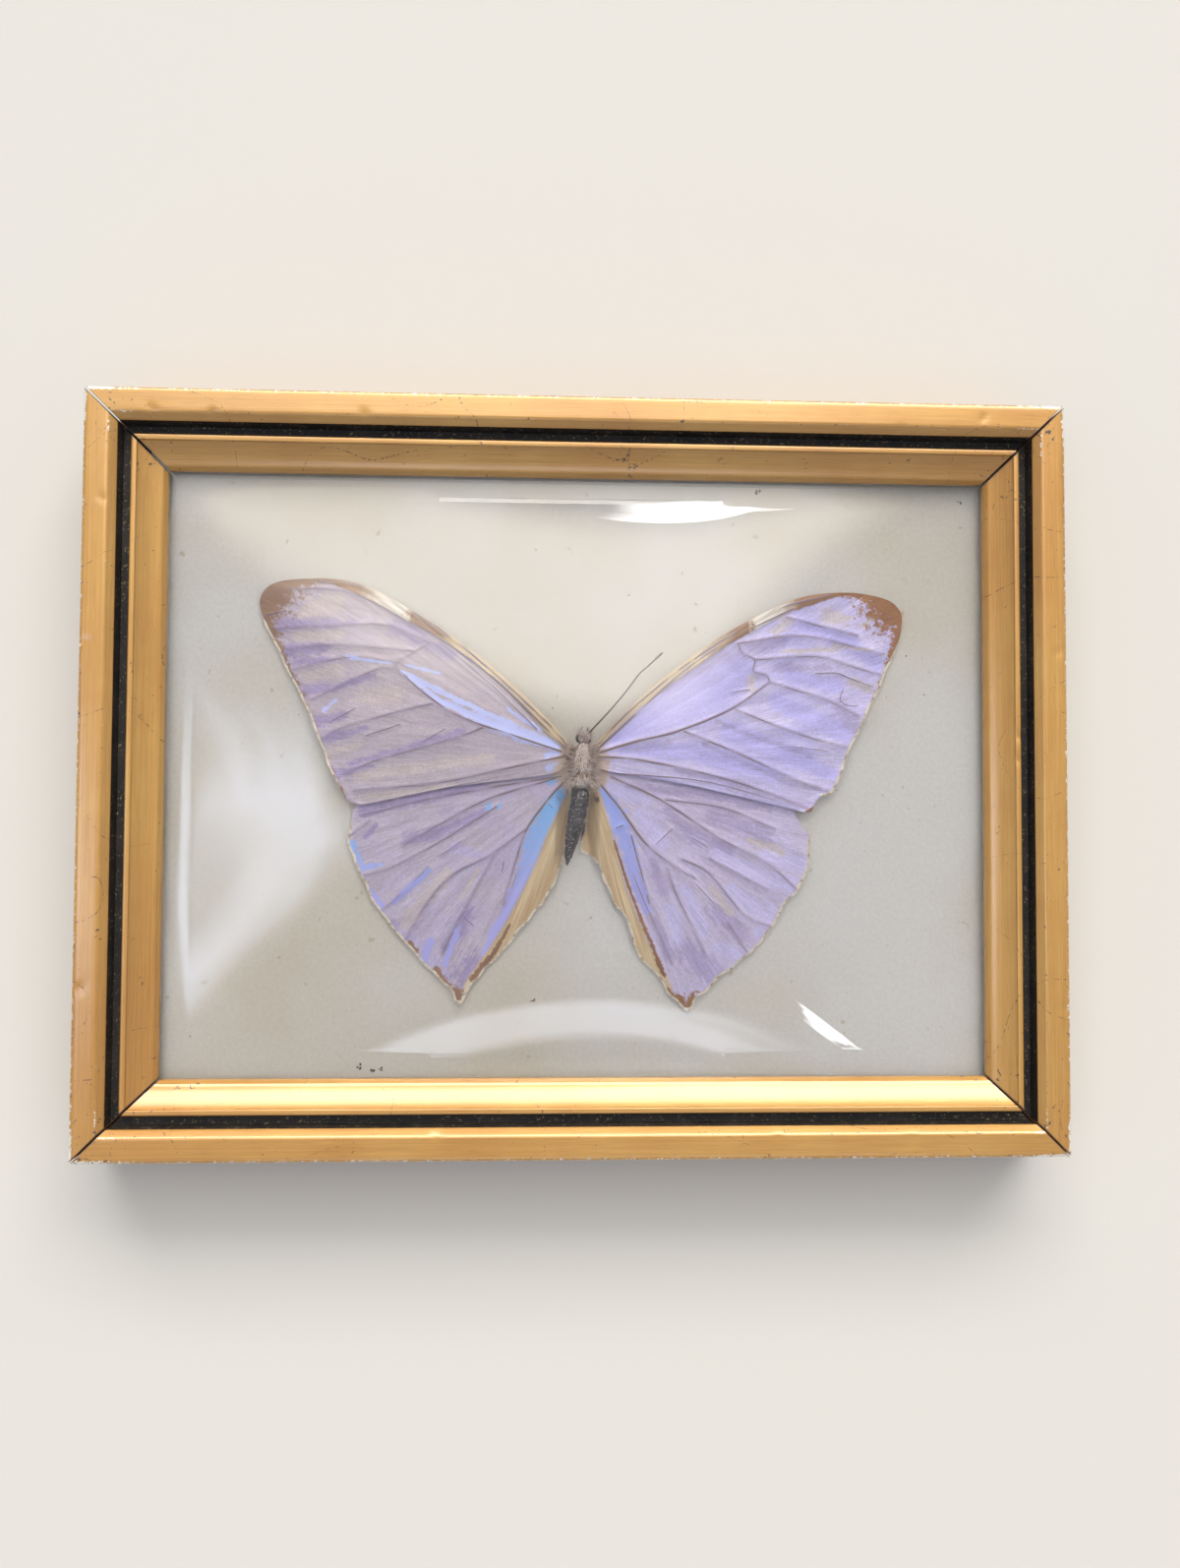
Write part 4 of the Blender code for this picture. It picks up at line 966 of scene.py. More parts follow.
class Bundle:
    """Collects grids of points into one mesh: points, faces, end caps, and which finish each face has."""

    def __init__(self):
        self.points, self.faces, self.caps, self.finish, self.count = [], [], [], [], 0

    def take(self, points, faces, finish=0, caps=()):
        """Add points and faces, numbered on from those already in the bundle."""
        points = points.reshape(-1, 3)
        self.points.append(points)
        self.faces.append(faces + self.count)
        self.finish.append(np.full(len(faces), finish))
        self.caps += [[i + self.count for i in cap] for cap in caps]
        self.count += len(points)

    def take_rings(self, rings, finish=0):
        """Add a closed shape made of rows of rings."""
        rows, sides = rings.shape[:2]
        self.take(rings, grid(rows, sides, wrap_columns=True), finish, ends_of(rows, sides))

    def whole(self):
        """All points, all faces, and the finish of every face."""
        return np.vstack(self.points), np.vstack(self.faces), np.concatenate(self.finish)


sample = tube(np.array([(0.0, 0.0, 0.0), (1.0, 0.0, 0.0)]), np.array([0.1, 0.1]), VEIN_SIDES)
print("a vein's rings have", sample.shape[1], "points")

# %% [markdown]
# The wing is a ruled surface: a short line at the root and the outline round the outside, with straight rays
# between them, so the grid fans out as the veins do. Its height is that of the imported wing, plus a soft rib
# over each vein, a sag between the veins, fine pleats along the rays, and a dip where the flap folds down
# beside the body.

# %% Shape of a wing
WING_ROWS = 146
WING_COLUMNS = 286
SKIN = 0.14                     # thickness of the skin with its scales
RIB_RISE, RIB_WIDTH = 0.13, 0.55
SAG = 0.09                      # how far the skin sinks between two veins
CREASE_RISE, CREASE_WIDTH = 0.07, 0.3
FOLD_RISE = 0.16                # the front band, a hindwing's fold and a curled edge all stand up this far
PLEATS = 15
PLEAT_RISE, FINE_RISE, BUCKLE_RISE = 0.05, 0.035, 0.05
FOREWING_HEIGHT = CARD_TOP + 1.05
HINDWING_HEIGHT = CARD_TOP + 0.45
LOWEST_SKIN = CARD_TOP + 0.15 + SKIN / 2
THORAX_CENTRE = ((THORAX_LOW + THORAX_HIGH) / 2)[:2] * np.array([1.0, 0.4])


def wing_base(points, forewing):
    """Height of the flat wing, lifted towards the thorax; a forewing's tip comes down past the hindwing."""
    reach = np.linalg.norm(points - THORAX_CENTRE, axis=-1)
    drop = 0.5 * smoothstep(5.0, 14.0, points[..., 1]) if forewing else 0.0
    return (FOREWING_HEIGHT if forewing else HINDWING_HEIGHT) + 2.8 * np.exp(-reach / 16) - drop


def torn_outline(plan, side, rng):
    """The outline in equal steps, pushed in and out at random where the edge is worn, and how worn it is."""
    outline = evenly(curve_through(plan["outline"], 8), WING_COLUMNS)
    t = np.linspace(0, 1, WING_COLUMNS)
    outward = np.gradient(outline, axis=0) @ np.array([[0.0, -1.0], [1.0, 0.0]])
    outward /= np.linalg.norm(outward, axis=1, keepdims=True)
    torn = wobble(WING_COLUMNS, 60, rng) + 0.6 * np.minimum(wobble(WING_COLUMNS, 140, rng), 0)
    worn = smoothstep(plan["worn_from"], plan["worn_from"] + 0.05, t) * smoothstep(*plan["worn_to"], t)
    return outline + outward * (plan["nicks"] * torn * worn)[:, None] * -side, worn


def wing_surface(plan, forewing):
    """Grid of P = root(t) (1 - s) + outline(t) s, its marks, and its height above the card."""
    rng = np.random.default_rng(plan["seed"])
    side = np.sign(plan["outline"][4][0])
    outline, worn = torn_outline(plan, side, rng)
    t = np.linspace(0, 1, WING_COLUMNS)
    s = np.linspace(0, 1, WING_ROWS)
    root = np.linspace(plan["root"][0], plan["root"][1], WING_COLUMNS)
    flat = root * (1 - s[:, None, None]) + outline * s[:, None, None]
    points = flat.reshape(-1, 2)
    x, y = points[:, 0], points[:, 1]
    marks = {name: under_strokes(points, plan[name]) for name in STROKE_MARKS}
    veins = [curve_through([v[:2] for v in vein], 6) for vein in plan["veins"]]
    marks["vein"] = np.min([distance_to(points, vein) for vein in veins], axis=0)
    marks["margin"] = distance_to(points, outline[::3]) + np.tile(2.0 * (1 - worn), WING_ROWS)
    height = wing_base(points, forewing)
    height += RIB_RISE * np.exp(-(marks["vein"] / RIB_WIDTH) ** 2) - SAG * smoothstep(0.8, 3.0, marks["vein"])
    creases = np.min([distance_to(points, np.array(c)[:, :2]) for c in plan["creases"]], axis=0)
    height += CREASE_RISE * np.exp(-(creases / CREASE_WIDTH) ** 2)
    pleats = np.sin(2 * np.pi * (PLEATS * t + 1.3 * wobble(WING_COLUMNS, 12, rng)))
    fine = wobble(WING_COLUMNS, 110, rng)
    folded = (PLEAT_RISE * pleats + FINE_RISE * fine)[None, :] * smoothstep(0.12, 0.4, s)[:, None]
    height += (s[:, None] * folded).ravel()
    height += BUCKLE_RISE * np.sin(x * 0.9 + 2 * np.sin(y * 0.35)) * np.sin(y * 0.8)
    if forewing:
        marks["flap"] = past_line(y, x, plan["band"])
        height += FOLD_RISE * smoothstep(-0.3, 0.4, marks["flap"]) * smoothstep(40, 30, np.abs(x))
        hind_edge = (y < 1.5) & (np.tile(t, WING_ROWS) > 0.6)
        height += FOLD_RISE * hind_edge * smoothstep(0.955, 0.99, np.repeat(s, WING_COLUMNS))
    else:
        marks["flap"] = -side * past_line(x, y, plan["fold"], turned=True)
        height += FOLD_RISE * np.exp(-(marks["flap"] / 0.5) ** 2) - 0.30 * smoothstep(0.2, 3.0, marks["flap"])
        height -= 1.5 * smoothstep(3.4, 1.2, np.abs(x + 0.3)) * smoothstep(-1.4, -3.6, y)
        height = np.maximum(height, LOWEST_SKIN)
    ray = np.linalg.norm(outline - root, axis=1)
    uv = np.stack([s[:, None] * ray[None, :], np.broadcast_to(t * 100, (WING_ROWS, WING_COLUMNS))], axis=-1)
    return flat, height.reshape(WING_ROWS, WING_COLUMNS), marks, uv


def vein_height(path, plan, forewing):
    """Height of the wing's upper face under a vein, from the flat wing and the rib that the vein raises."""
    lift = RIB_RISE
    if forewing:
        lift = RIB_RISE + 0.12 * smoothstep(-0.5, 0.2, past_line(path[:, 1], path[:, 0], plan["band"]))
    return wing_base(path, forewing) + lift + SKIN / 2


def make_wing(plan, finishes):
    """Upper face, lower face a skin's thickness below, a rim between them, and a tube along every vein."""
    forewing = "band" in plan
    flat, height, marks, uv = wing_surface(plan, forewing)
    skin, faces = sheet(np.dstack([flat, height + SKIN / 2]), np.dstack([flat, height - SKIN / 2]))
    if volume(skin, faces) < 0:
        faces = faces[:, ::-1]
    whole = Bundle()
    whole.take(skin, faces)
    for stroke in plan["veins"] + plan["creases"]:
        path = curve_through(stroke, 6)
        flat_path, radius = path[:, :2], path[:, 2]
        sunk = vein_height(flat_path, plan, forewing) - 0.4 * radius - 0.03
        whole.take_rings(tube(np.column_stack([flat_path, sunk]), radius, VEIN_SIDES), 1)
    points, faces, finish_of = whole.whole()
    on_veins = points[len(skin):, :2]
    values = {name: np.concatenate([mark, mark, np.zeros(len(on_veins))]) for name, mark in marks.items()}
    uv = np.vstack([uv.reshape(-1, 2), uv.reshape(-1, 2), on_veins])
    return piece(plan["node"] + "_scaled", points, faces, finishes, "wing_membrane", replaces=(plan["node"],),
                 caps=whole.caps, uv=uv, values=values, finish_of=finish_of, crease=60.0, flip=False)


print("points on one face of a wing:", WING_ROWS * WING_COLUMNS)

# %% [markdown]
# Wing scales: horn-like plates a tenth of a millimetre long, laid in rows. They give a soft, pearly colour
# that runs in streaks from the root. Rubbed places are dull, the edges are brown, and the front rib is bare
# and tan. The scales' real size is too fine to show, so the grain is drawn at about a third of a millimetre.

# %% Finishes of the wings


def ragged_mask(tree, source, grain, middle, soft, rough):
    """0 to 1 across a mark's edge: the mark's value, pushed about by a noise, then a soft threshold."""
    pushed = add(tree, "Math", {0: grain, 1: rough, 2: source}, operation="MULTIPLY_ADD")
    low, high = middle - soft + rough / 2, middle + soft + rough / 2
    return add(tree, "MapRange", {"Value": pushed, "From Min": low, "From Max": high}, **EASE)


def blended(tree, first, share, second):
    """first * share + second * (1 - share), for two noises that break up an edge together."""
    rest = add(tree, "Math", {0: second, 1: round(1 - share, 6)}, operation="MULTIPLY")
    return add(tree, "Math", {0: first, 1: share, 2: rest}, operation="MULTIPLY_ADD")


def part_of(tree, mask, share):
    """A mask that never covers more than its share."""
    return add(tree, "Math", {0: mask, 1: share}, operation="MULTIPLY")


def front_rib_tone(tree, plan, mm, edge):
    """Bare horn along the front edge: tan near the body, then brown, then pale, and brown at the tip."""
    across = add(tree, "Math", {0: add(tree, "SeparateXYZ", {0: mm}).outputs["X"]}, operation="ABSOLUTE")
    place = add(tree, "Math", {0: edge, 1: 4.0, 2: across}, operation="MULTIPLY_ADD")
    run = add(tree, "MapRange", {"Value": place, "From Max": 50.0})
    brown_from, brown_to = plan["rib_brown"]
    return add(tree, "ValToRGB", {"Fac": run}, stops=[
        (0.0, "#C9B394"), (0.40, "#D8C6A6"), (brown_from, "#8E6240"), (brown_to, "#966C4A"),
        (0.56, "#F0E9DF"), (0.63, "#E6DCD0"), (0.69, "#A57E60"), (0.9, "#966A4A")])


def flap_tone(tree, broad, flap):
    """The hindwing's soft inner flap: straw-coloured in long streaks, and darker towards the body as painted
    shade.
    """
    straw = add(tree, "ValToRGB", {"Fac": broad}, stops=[(0.3, "#D2B083"), (0.7, "#F0DDB6")])
    shade = add(tree, "MapRange", {"Value": flap, "From Min": 1.2, "From Max": 3.4})
    return coats(tree, straw, (part_of(tree, shade, 0.35), "#A98A66"))


def wing_scales(plan, forewing):
    """Rows of pearly scales: lilac with a soft sheen, streaked along the rays, rubbed and browned by plan."""
    made, tree, shader, mm = finish(plan["node"] + "_pearly_scales")
    mark = {name: add(tree, "Attribute", attribute_name=name).outputs["Fac"]
            for name in STROKE_MARKS + ("vein", "margin", "flap")}
    rays = add(tree, "UVMap", uv_map="surface")
    broad_rays = add(tree, "Mapping", {"Vector": rays, "Scale": (0.08, 0.55, 1.0)})
    fine_rays = add(tree, "Mapping", {"Vector": rays, "Scale": (0.35, 3.2, 1.0)})
    torn_rays = add(tree, "Mapping", {"Vector": rays, "Scale": (0.2, 1.1, 1.0)})
    broad = add(tree, "TexNoise", {"Vector": broad_rays, "Scale": 1.0, "Detail": 3.0, "Roughness": 0.6,
                                   "Distortion": 0.3})
    fine = add(tree, "TexNoise", {"Vector": fine_rays, "Scale": 1.0, "Detail": 3.0, "Roughness": 0.65})
    torn = add(tree, "TexNoise", {"Vector": torn_rays, "Scale": 1.0, "Detail": 4.0, "Roughness": 0.7,
                                  "Distortion": 0.5})
    patch = add(tree, "TexNoise", {"Vector": mm, "Scale": 0.16, "Detail": 3.0, "Roughness": 0.55})
    grain = add(tree, "TexNoise", {"Vector": mm, "Scale": 2.6, "Detail": 3.0, "Roughness": 0.7})
    edge = add(tree, "TexNoise", {"Vector": mm, "Scale": 1.1, "Detail": 4.0, "Roughness": 0.7})
    torn_edge = blended(tree, torn, 0.6, edge)
    strands_of_scales = blended(tree, fine, 0.4, edge)

    # The scales themselves, and what rubbing has left of them. The bare coat also paints a highlight along the
    # left forewing's hind edge.
    scales = add(tree, "ValToRGB", {"Fac": broad}, stops=[(0.34, plan["dull"]), (0.64, plan["pearl"])])
    clouds = add(tree, "MapRange", {"Value": patch, "From Min": 0.42, "From Max": 0.62, "To Max": 0.55})
    bright = ragged_mask(tree, mark["bright"], torn, 0.42, 0.3, 1.0)
    violet = part_of(tree, ragged_mask(tree, mark["violet"], torn_edge, 0.5, 0.3, 3.4), plan["violet_most"])
    bare = part_of(tree, ragged_mask(tree, mark["bare"], torn_edge, 0.5, 0.25, 3.2), 0.7)
    streaky = add(tree, "MapRange", {"Value": fine, "From Min": 0.3, "From Max": 0.7, "To Min": 0.80,
                                     "To Max": 1.12})
    speckle = add(tree, "MapRange", {"Value": grain, "From Min": 0.3, "From Max": 0.7, "To Min": 0.87,
                                     "To Max": 1.09})
    beside_vein = add(tree, "MapRange", {"Value": mark["vein"], "From Max": 0.4, "To Min": 0.6,
                                         "To Max": 0.0})
    tone = coats(tree, scales, (clouds, plan["shine"]), (bright, plan["shine"]),
                 (violet, plan["violet_tone"]), (bare, "#DACDCB"), (1.0, streaky, "MULTIPLY"),
                 (1.0, speckle, "MULTIPLY"), (beside_vein, "#8C7C9C"))

    # Blue scales that rubbing has spared, deeper towards the head on the hindwings.
    up = add(tree, "SeparateXYZ", {0: mm}).outputs["Y"]
    towards_head = add(tree, "MapRange", {"Value": up, "From Min": -17.0, "From Max": -5.0})
    blues = add(tree, "ValToRGB", {"Fac": towards_head}, stops=list(zip((0.0, 1.0), plan["blue_tones"])))
    blue = ragged_mask(tree, mark["blue"], strands_of_scales, 0.5, 0.14, 2.6)

    # The bare front rib or the soft flap, the hairy root, the brown margin and the pale torn fringe.
    if forewing:
        strip = (ragged_mask(tree, mark["flap"], edge, 0.0, 0.16, 0.5), front_rib_tone(tree, plan, mm, edge))
    else:
        strip = (ragged_mask(tree, mark["flap"], edge, 0.1, 0.3, 0.9), flap_tone(tree, broad, mark["flap"]))
    from_thorax = add(tree, "VectorMath", {0: mm, 1: (*THORAX_CENTRE, CARD_TOP + 3.0)},
                      operation="DISTANCE").outputs["Value"]
    at_root = add(tree, "MapRange", {"Value": from_thorax, "From Min": 6.5, "From Max": 1.5})
    root = part_of(tree, ragged_mask(tree, at_root, edge, 0.5, 0.14, 0.9), 0.85)
    brown = add(tree, "ValToRGB", {"Fac": torn_edge},
                stops=[(0.32, plan["brown_tone"]), (0.68, plan["brown_worn"])])
    inside = add(tree, "Math", {0: 0.3, 1: mark["margin"]}, operation="SUBTRACT")
    fringe = add(tree, "ValToRGB", {"Fac": edge}, stops=[(0.38, "#B49A7E"), (0.52, "#EADFCD")])
    tone = coats(tree, tone, (blue, blues), strip, (root, "#C4AC90"),
                 (ragged_mask(tree, mark["brown"], edge, 0.5, 0.16, 1.7), brown),
                 (ragged_mask(tree, inside, edge, 0.0, 0.05, 0.3), fringe))
    rough = add(tree, "MapRange", {"Value": fine, "To Min": 0.42, "To Max": 0.62})
    relief = add(tree, "Math", {0: fine, 1: grain}, operation="ADD")
    bump = add(tree, "Bump", {"Height": relief, "Strength": 0.35, "Distance": 0.00006})
    fill(tree, shader, {"Base Color": tone, "Roughness": rough, "Normal": bump, "Metallic": 0.22,
                        "Sheen Weight": 0.25, "Sheen Roughness": 0.4, "Sheen Tint": "#CFC8FF"})
    return made


def vein_skin():
    """Dry veins: horn-like tubes with a dull shine, tan near the body and mauve-brown further out."""
    made, tree, shader, mm = finish("dry_vein_horn")
    reach = add(tree, "VectorMath", {0: mm}, operation="LENGTH").outputs["Value"]
    mottle = add(tree, "TexNoise", {"Vector": mm, "Scale": 1.4, "Detail": 3.0})
    moved = add(tree, "Math", {0: mottle, 1: 10.0, 2: reach}, operation="MULTIPLY_ADD")
    run = add(tree, "MapRange", {"Value": moved, "From Min": 6.0, "From Max": 42.0})
    tone = add(tree, "ValToRGB", {"Fac": run}, stops=[
        (0.0, "#8A6C50"), (0.3, "#87706C"), (0.6, "#877690"), (1.0, "#94849E")])
    fill(tree, shader, {"Base Color": tone, "Roughness": 0.5, "Coat Weight": 0.15, "Coat Roughness": 0.4})
    return made


VEIN_SKIN = vein_skin()
for plan in (FOREWING_LEFT, FOREWING_RIGHT, HINDWING_LEFT, HINDWING_RIGHT):
    make_wing(plan, [wing_scales(plan, "band" in plan), VEIN_SKIN])

# %% [markdown]
# The body is three dry pieces: head and thorax in one, the abdomen, and an antenna. Each is a tube whose
# section changes along its length, so it is lofted: a few stations give its centre, half width and half
# height, a smooth curve runs through them, and an ellipse is drawn at every step. The hair is real geometry,
# thousands of thin three-sided cones, because a bump can't give a furry outline.

# %% Lofts, lumps and hair
BODY_HEIGHT = (THORAX_LOW[2] + THORAX_HIGH[2]) / 2
WING_ROOT_HEIGHT = FOREWING_HEIGHT + 2.45
HAIR_RINGS, HAIR_SIDES = 4, 3
HAIR_POINTS = HAIR_RINGS * HAIR_SIDES


def loft(stations, rows, sides, swell):
    """Ellipses along Y: (cx + w k cos a, y, z + h k sin a), where k = swell(y, a) is 1 on a plain ellipse."""
    line = evenly(curve_through(stations, 10), rows)
    a = np.linspace(0, 2 * np.pi, sides, endpoint=False)[None, :]
    y, cx, w, h = (line[:, i:i + 1] for i in range(4))
    w, h = np.maximum(w, 0.02), np.maximum(h, 0.02)
    k = swell(y, a)
    points = np.stack([cx + w * k * np.cos(a), y + 0 * a, BODY_HEIGHT + h * k * np.sin(a)], axis=-1)
    normal = np.stack([np.cos(a) / w, 0 * (y + a), np.sin(a) / h], axis=-1)
    return points, normal / np.linalg.norm(normal, axis=-1, keepdims=True)


def lump(centre, radii, rng, rows=9, sides=12, rough=0.12):
    """A pebble: a sphere of angles (polar, around) scaled by radii, with a few random waves on its radius."""
    polar = np.linspace(0.12, np.pi - 0.12, rows)[:, None]
    around = np.linspace(0, 2 * np.pi, sides, endpoint=False)[None, :]
    phase = rng.uniform(0, 2 * np.pi, 3)
    waves = (np.sin(2 * around + phase[0]) * np.sin(polar) + np.sin(3 * around + phase[1]) * np.sin(2 * polar)
             + 0.6 * np.cos(3 * polar + phase[2]))
    ball = [np.sin(polar) * np.cos(around), np.sin(polar) * np.sin(around), np.cos(polar) + 0 * around]
    return np.array(centre) + np.stack(ball, axis=-1) * (1 + rough * waves)[..., None] * np.array(radii)


def strands(roots, along, length, radius, droop, rng):
    """Hairs as three-sided cones on four rings: root + along u L - droop u^2 L, radius r (1 - 0.85 u)."""
    u = np.array([0.0, 0.35, 0.7, 1.0])[None, :, None]
    length = length[:, None, None]
    sway = rng.normal(0, 0.16, (len(roots), 1, 3))
    bent = (sway + np.array([0, 0, -droop])) * u ** 2 * length
    centre = roots[:, None] + along[:, None] * u * length + bent
    side = np.cross(along, [0.31, 0.22, 0.92])
    side /= np.linalg.norm(side, axis=1, keepdims=True)
    other = np.cross(along, side)
    a = (np.arange(HAIR_SIDES) * 2 * np.pi / HAIR_SIDES)[None, None, :, None]
    ring = np.cos(a) * side[:, None, None] + np.sin(a) * other[:, None, None]
    points = centre[:, :, None] + ring * (radius[:, None, None] * (1 - 0.85 * u))[..., None]
    start = (np.arange(len(roots)) * HAIR_POINTS)[:, None]
    faces = (grid(HAIR_RINGS, HAIR_SIDES, wrap_columns=True)[None] + start[:, None]).reshape(-1, 4)
    first, last = ends_of(HAIR_RINGS, HAIR_SIDES)
    caps = np.vstack([start + np.array(first), start + np.array(last)]).tolist()
    return points.reshape(-1, 3), faces, caps


print("faces in one hair:", len(grid(HAIR_RINGS, HAIR_SIDES, wrap_columns=True)) + 2)

# %% [markdown]
# The thorax is a dark brown shell. Its back has two long lobes with a shallow furrow between them, a pale
# ridge behind them, and a narrow neck in front. All of that is a swell of the ellipses, so it stays one skin.

# %% Head and thorax
rng = np.random.default_rng(21)
THORAX_STATIONS = [             # place along the body, centre, half width, half height
    (-1.5, 0.20, 0.50, 0.70), (-0.9, 0.20, 1.00, 1.30), (0.3, 0.20, 1.34, 1.72), (1.7, 0.25, 1.38, 1.80),
    (3.1, 0.35, 1.14, 1.50), (4.1, 0.45, 0.74, 1.05), (4.5, 0.50, 0.60, 0.88), (4.9, 0.50, 0.84, 1.00),
    (5.5, 0.52, 0.88, 0.98), (6.1, 0.55, 0.60, 0.66), (6.4, 0.55, 0.24, 0.24)]
THORAX_ROWS, THORAX_SIDES = 110, 64


def thorax_swell(y, a):
    """1, less a furrow along the back, less a hollow behind the lobes, plus a ridge behind the hollow."""
    back = np.clip(np.sin(a), 0, 1) ** 2
    furrow = 0.07 * np.exp(-(np.cos(a) / 0.12) ** 2) * back
    furrow = furrow * smoothstep(0.4, 1.4, y) * smoothstep(3.9, 3.2, y)
    hollow = 0.20 * np.exp(-((y - 0.15) / 0.33) ** 2) * back
    ridge = 0.06 * np.exp(-((y + 0.55) / 0.28) ** 2) * back
    plates = 0.025 * np.sin(5 * a + 2 * y) * np.sin(3.1 * y)
    return 1 - furrow - hollow + ridge + plates


def horny_shell(name, dark, light, rough, coat, dust_and_glint_fleck=None):
    """Dry cuticle, a horn-like skin: dark with paler worn places, flecks of dust and a faint waxy shine. A
    pale fleck colour, as on the abdomen, makes the flecks painted highlights too.
    """
    made, tree, shader, mm = finish(name)
    cloud = add(tree, "TexNoise", {"Vector": mm, "Scale": 0.9, "Detail": 5.0, "Roughness": 0.65})
    pits = add(tree, "TexNoise", {"Vector": mm, "Scale": 2.6, "Detail": 4.0, "Roughness": 0.7})
    horn = add(tree, "ValToRGB", {"Fac": cloud}, stops=[(0.36, dark), (0.62, light)])
    # Flecks of dust; with a pale fleck colour they are painted highlights as well.
    dust_and_glint_specks = add(tree, "MapRange", {"Value": pits, "From Min": 0.58, "From Max": 0.66})
    bump = add(tree, "Bump", {"Height": pits, "Strength": 0.5, "Distance": 0.00006})
    fill(tree, shader, {"Base Color": coats(tree, horn, (dust_and_glint_specks, dust_and_glint_fleck or light)), "Roughness": rough,
                        "Normal": bump, "Coat Weight": coat, "Coat Roughness": 0.3})
    return made


thorax, thorax_normal = loft(THORAX_STATIONS, THORAX_ROWS, THORAX_SIDES, thorax_swell)
brown_shell = horny_shell("brown_thorax_shell", "#4A2A1C", "#A07858", 0.45, 0.3)
ring_piece("thorax_and_head_shell", thorax, [brown_shell], "insect_fur", replaces=("thorax_and_head",))

# %% [markdown]
# Where the wings meet the body, small red-brown plates cover the joints. They and the eyes are rounded lumps,
# so one function makes them all: a sphere, stretched, with a few random waves.

# %% Plates at the wing roots, and eyes
ROOT_PLATES = ((3.6, 1.35, .42), (3.0, 1.6, .34), (2.4, 1.75, .4), (1.7, 1.85, .3), (1.1, 1.75, .42),
               (0.5, 1.6, .32), (-0.1, 1.5, .38), (-0.8, 1.25, .34))      # along the body, out from it, size
LOOSE_PLATES = ((2.55, -3.35, 9.0, .42), (2.2, -2.9, 9.05, .3), (-0.1, -0.35, 10.55, .3),
                (0.55, -0.5, 10.6, .28))                                  # centre, size
EYES = ((-0.28, 5.25, 9.55, .5), (1.22, 5.1, 9.35, .44))
plates = Bundle()
for side in (-1, 1):
    for y, reach, size in ROOT_PLATES:
        centre = (0.2 + side * (reach + rng.uniform(-.12, .12)), y + rng.uniform(-.15, .15),
                  WING_ROOT_HEIGHT + rng.uniform(-.1, .3))
        plates.take_rings(lump(centre, (size * 1.1, size * .75, size * .55), rng))
for *centre, size in LOOSE_PLATES:
    plates.take_rings(lump(centre, (size, size * 1.2, size * .5), rng, rough=0.2))
points, faces, _ = plates.whole()
red_brown = horny_shell("red_brown_root_plates", "#4A2A1C", "#A27B5B", 0.45, 0.3)
piece("wing_root_plates", points, faces, [red_brown], "insect_fur", caps=plates.caps)

eyes = Bundle()
for *centre, r in EYES:
    eyes.take_rings(lump(centre, (r * .8, r * 1.15, r), rng, rows=22, sides=30, rough=0.015))
points, faces, _ = eyes.whole()
piece("compound_eyes", points, faces, [horny_shell("dark_eye_facets", "#241712", "#4E3830", 0.22, 0.6)],
      "dark_chitin", caps=eyes.caps)

# %% [markdown]
# Hair covers the lobes of the thorax and stands in tufts over the wing roots. It is grey-beige on top and
# browner down the sides, partly as painted light and shade. A particle system could grow it, but its strands
# wouldn't be exported, so each hair starts at a random point of the shell, leans back along the body and
# droops, all of them worked out at once.

# %% Hair of the thorax, head and wing roots
HAIRS_ON_BACK, HAIRS_AT_ROOTS = 4200, 2400
HAIR_RADIUS = 0.026             # real hairs are half this; drawn thicker so that they show
HEAD_STARTS = 4.6               # place along the body where the head's forward-leaning hair begins


def dry_fur():
    """Dry body hair: dull and dust-laden, grey-beige on the back and brown down the sides, as painted light on
    top and painted shade on the sides.
    """
    made, tree, shader, mm = finish("dry_body_hair")
    strand = add(tree, "Attribute", attribute_name="pale").outputs["Fac"]
    tuft = add(tree, "TexNoise", {"Vector": mm, "Scale": 1.3, "Detail": 3.0})
    mixed = add(tree, "Math", {0: tuft, 1: 0.6, 2: strand}, operation="MULTIPLY_ADD")
    tone = add(tree, "ValToRGB", {"Fac": mixed},
               stops=[(0.4, "#6A4938"), (0.6, "#BCA090"), (0.95, "#F0E6E0")])
    fill(tree, shader, {"Base Color": tone, "Roughness": 0.7, "Sheen Weight": 0.3, "Sheen Roughness": 0.5})
    return made


row = rng.integers(4, THORAX_ROWS - 4, HAIRS_ON_BACK)
column = rng.integers(0, THORAX_SIDES, HAIRS_ON_BACK)
from_hollow = np.abs(thorax[row, column, 1] - 0.15)
keep = (thorax_normal[row, column, 2] > -0.25) & ((from_hollow > 0.45) | (rng.random(HAIRS_ON_BACK) < 0.2))
back_roots, outward = thorax[row, column][keep], thorax_normal[row, column][keep]
on_head = back_roots[:, 1] > HEAD_STARTS
lean = np.where(on_head[:, None], np.array([0.0, 0.75, 0.1]), np.array([0.0, -0.8, 0.0]))
back_along = outward * 0.55 + lean + rng.normal(0, 0.24, back_roots.shape)
head_length = rng.uniform(0.3, 0.75, len(back_roots))
back_length = np.where(on_head, head_length, rng.uniform(0.45, 1.05, len(back_roots)))

